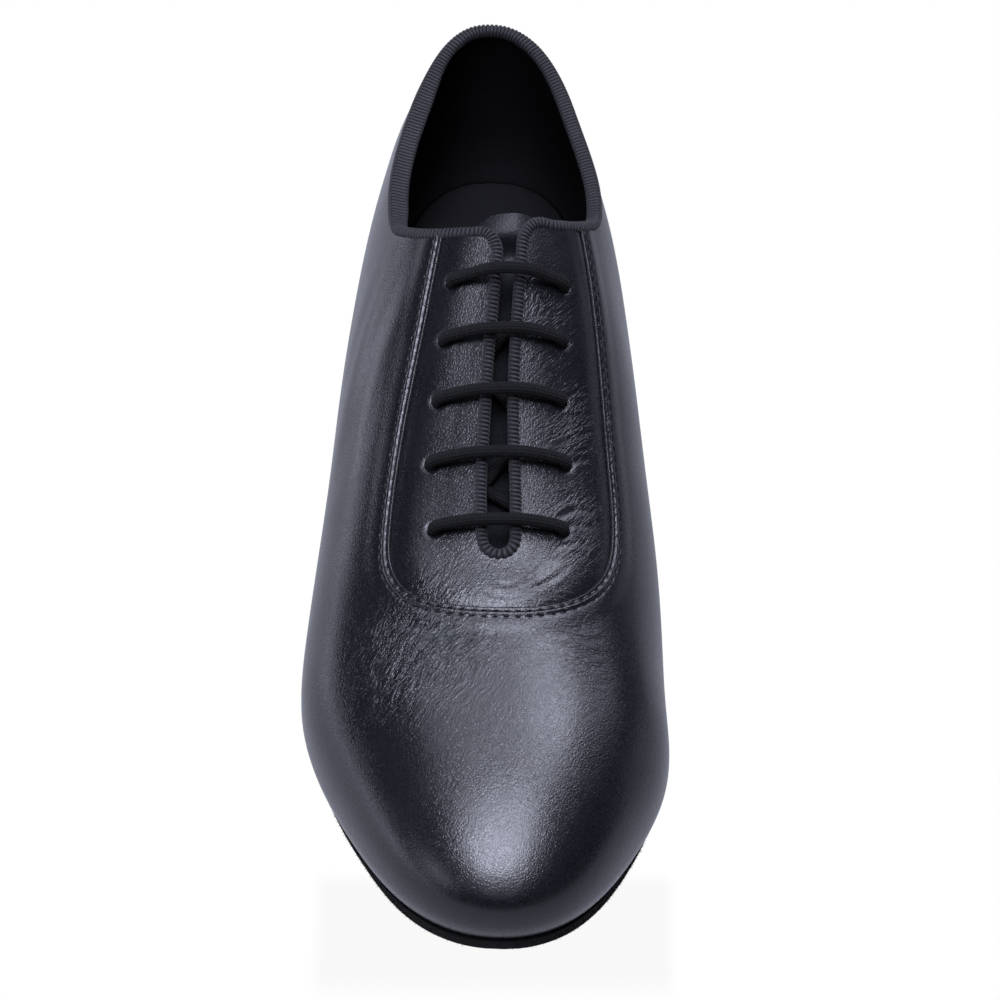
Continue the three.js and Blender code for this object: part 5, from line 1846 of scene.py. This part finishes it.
def make_floor():
    bpy.ops.object.select_all(action="DESELECT")
    bpy.ops.mesh.primitive_circle_add(vertices=96, radius=0.5, fill_type="NGON", location=(0, 0, 0))
    floor = bpy.context.object
    floor.name = "studio_floor"
    material, nodes, shader = new_material("pale floor")
    if nodes is not None:
        shader.inputs["Base Color"].default_value = (0, 0, 0, 1)
        shader.inputs["Roughness"].default_value = 1.0
        shader.inputs["Specular IOR Level"].default_value = 0.0
        place = nodes.add("ShaderNodeTexCoord").outputs["Object"]
        split = nodes.add("ShaderNodeSeparateXYZ")
        nodes.join(place, split.inputs[0])
        seen = nodes.add("ShaderNodeLightPath").outputs["Is Camera Ray"]
        mirrored = nodes.ranged(split.outputs["X"], -0.25, 0.25, 0.66, 0.38)
        aside = nodes.math("ABSOLUTE", nodes.math("SUBTRACT", split.outputs["X"], SHADE_MIDDLE))
        fades = (nodes.ranged(aside, *SHADE_ASIDE, 1, 0, smooth=True),
                 nodes.ranged(split.outputs["Y"], *SHADE_AHEAD, 0, 1, smooth=True),
                 nodes.ranged(split.outputs["Y"], *SHADE_BEHIND, 1, 0, smooth=True))
        shade = nodes.math("MULTIPLY", nodes.math("MULTIPLY", *fades[:2]), -SHADE_DEPTH)
        shade = nodes.math("ADD", nodes.math("MULTIPLY", shade, fades[2]), 1.0)
        level = nodes.math("ADD", nodes.math("MULTIPLY", seen, shade),
                           nodes.math("MULTIPLY", nodes.math("SUBTRACT", 1.0, seen), mirrored))
        colour = nodes.mix(seen, (*STUDIO_TINT, 1), (1, 1, 1, 1))
        nodes.join(colour, shader.inputs["Emission Color"])
        nodes.join(level, shader.inputs["Emission Strength"])
    floor.data.materials.append(material)


def make_stage():
    scene = bpy.context.scene
    scene.view_settings.view_transform = "Standard"
    make_camera()
    make_world()
    make_floor()


# Operators

class BuildOperator:
    bl_options = {"REGISTER", "UNDO"}
    build = ()

    def execute(self, context):
        for make in self.build:
            if make() is None:
                raise RuntimeError(f"{make.__name__} made nothing")
        return {"FINISHED"}


class SHOE_OT_upper(BuildOperator, bpy.types.Operator):
    """Lays the vamp, quarters and facings over the last."""
    bl_idname = "dance_shoe.upper"
    bl_label = "Upper leather"
    build = (make_vamp_quarters, make_facings)


class SHOE_OT_lining(BuildOperator, bpy.types.Operator):
    """Lines the inside and lays in the insole."""
    bl_idname = "dance_shoe.lining"
    bl_label = "Lining and insole"
    build = (make_lining, make_insole)


class SHOE_OT_binding(BuildOperator, bpy.types.Operator):
    """Folds the ribbed tape over the edge of the opening."""
    bl_idname = "dance_shoe.binding"
    bl_label = "Topline binding"
    build = (make_binding,)


class SHOE_OT_tongue(BuildOperator, bpy.types.Operator):
    """Sets the tongue under the facings."""
    bl_idname = "dance_shoe.tongue"
    bl_label = "Tongue"
    build = (make_tongue,)


class SHOE_OT_lace(BuildOperator, bpy.types.Operator):
    """Threads the braided lace through the eyelets."""
    bl_idname = "dance_shoe.lace"
    bl_label = "Lace"
    build = (make_lace,)


class SHOE_OT_stitches(BuildOperator, bpy.types.Operator):
    """Sews the two rows of the facing seam."""
    bl_idname = "dance_shoe.stitches"
    bl_label = "Seam stitches"
    build = (make_stitches,)


class SHOE_OT_sole(BuildOperator, bpy.types.Operator):
    """Makes the napped suede outsole, the covered heel and its top piece."""
    bl_idname = "dance_shoe.sole"
    bl_label = "Sole and heel"
    build = (make_outsole, make_heel, make_top_piece)


class SHOE_OT_stage(bpy.types.Operator):
    """Sets up the camera, the lights and the floor."""
    bl_idname = "dance_shoe.stage"
    bl_label = "Stage"

    def execute(self, context):
        make_stage()
        return {"FINISHED"}


STEPS = (SHOE_OT_stage, SHOE_OT_upper, SHOE_OT_lining, SHOE_OT_binding, SHOE_OT_tongue, SHOE_OT_lace,
         SHOE_OT_stitches, SHOE_OT_sole)


class SHOE_PT_panel(bpy.types.Panel):
    """Lists the sizes, the colours and the steps of the shoe."""
    bl_idname = "SHOE_PT_panel"
    bl_label = "Dance Shoe"
    bl_space_type = "VIEW_3D"
    bl_region_type = "UI"
    bl_category = "Dance Shoe"

    def draw(self, context):
        for group in (context.scene.dance_shoe_sizes, context.scene.dance_shoe_colours):
            column = self.layout.column(align=True)
            for name in group.__annotations__:
                column.prop(group, name)
        for step in STEPS:
            self.layout.operator(step.bl_idname)


CLASSES = (ShoeSizes, ShoeColours, *STEPS, SHOE_PT_panel)


def register():
    for item in CLASSES:
        bpy.utils.register_class(item)
    bpy.types.Scene.dance_shoe_sizes = PointerProperty(type=ShoeSizes)
    bpy.types.Scene.dance_shoe_colours = PointerProperty(type=ShoeColours)


def unregister():
    del bpy.types.Scene.dance_shoe_colours
    del bpy.types.Scene.dance_shoe_sizes
    for item in reversed(CLASSES):
        bpy.utils.unregister_class(item)


def main():
    register()
    for step in STEPS:
        group, name = step.bl_idname.split(".")
        getattr(getattr(bpy.ops, group), name)()


if __name__ == "__main__":
    main()
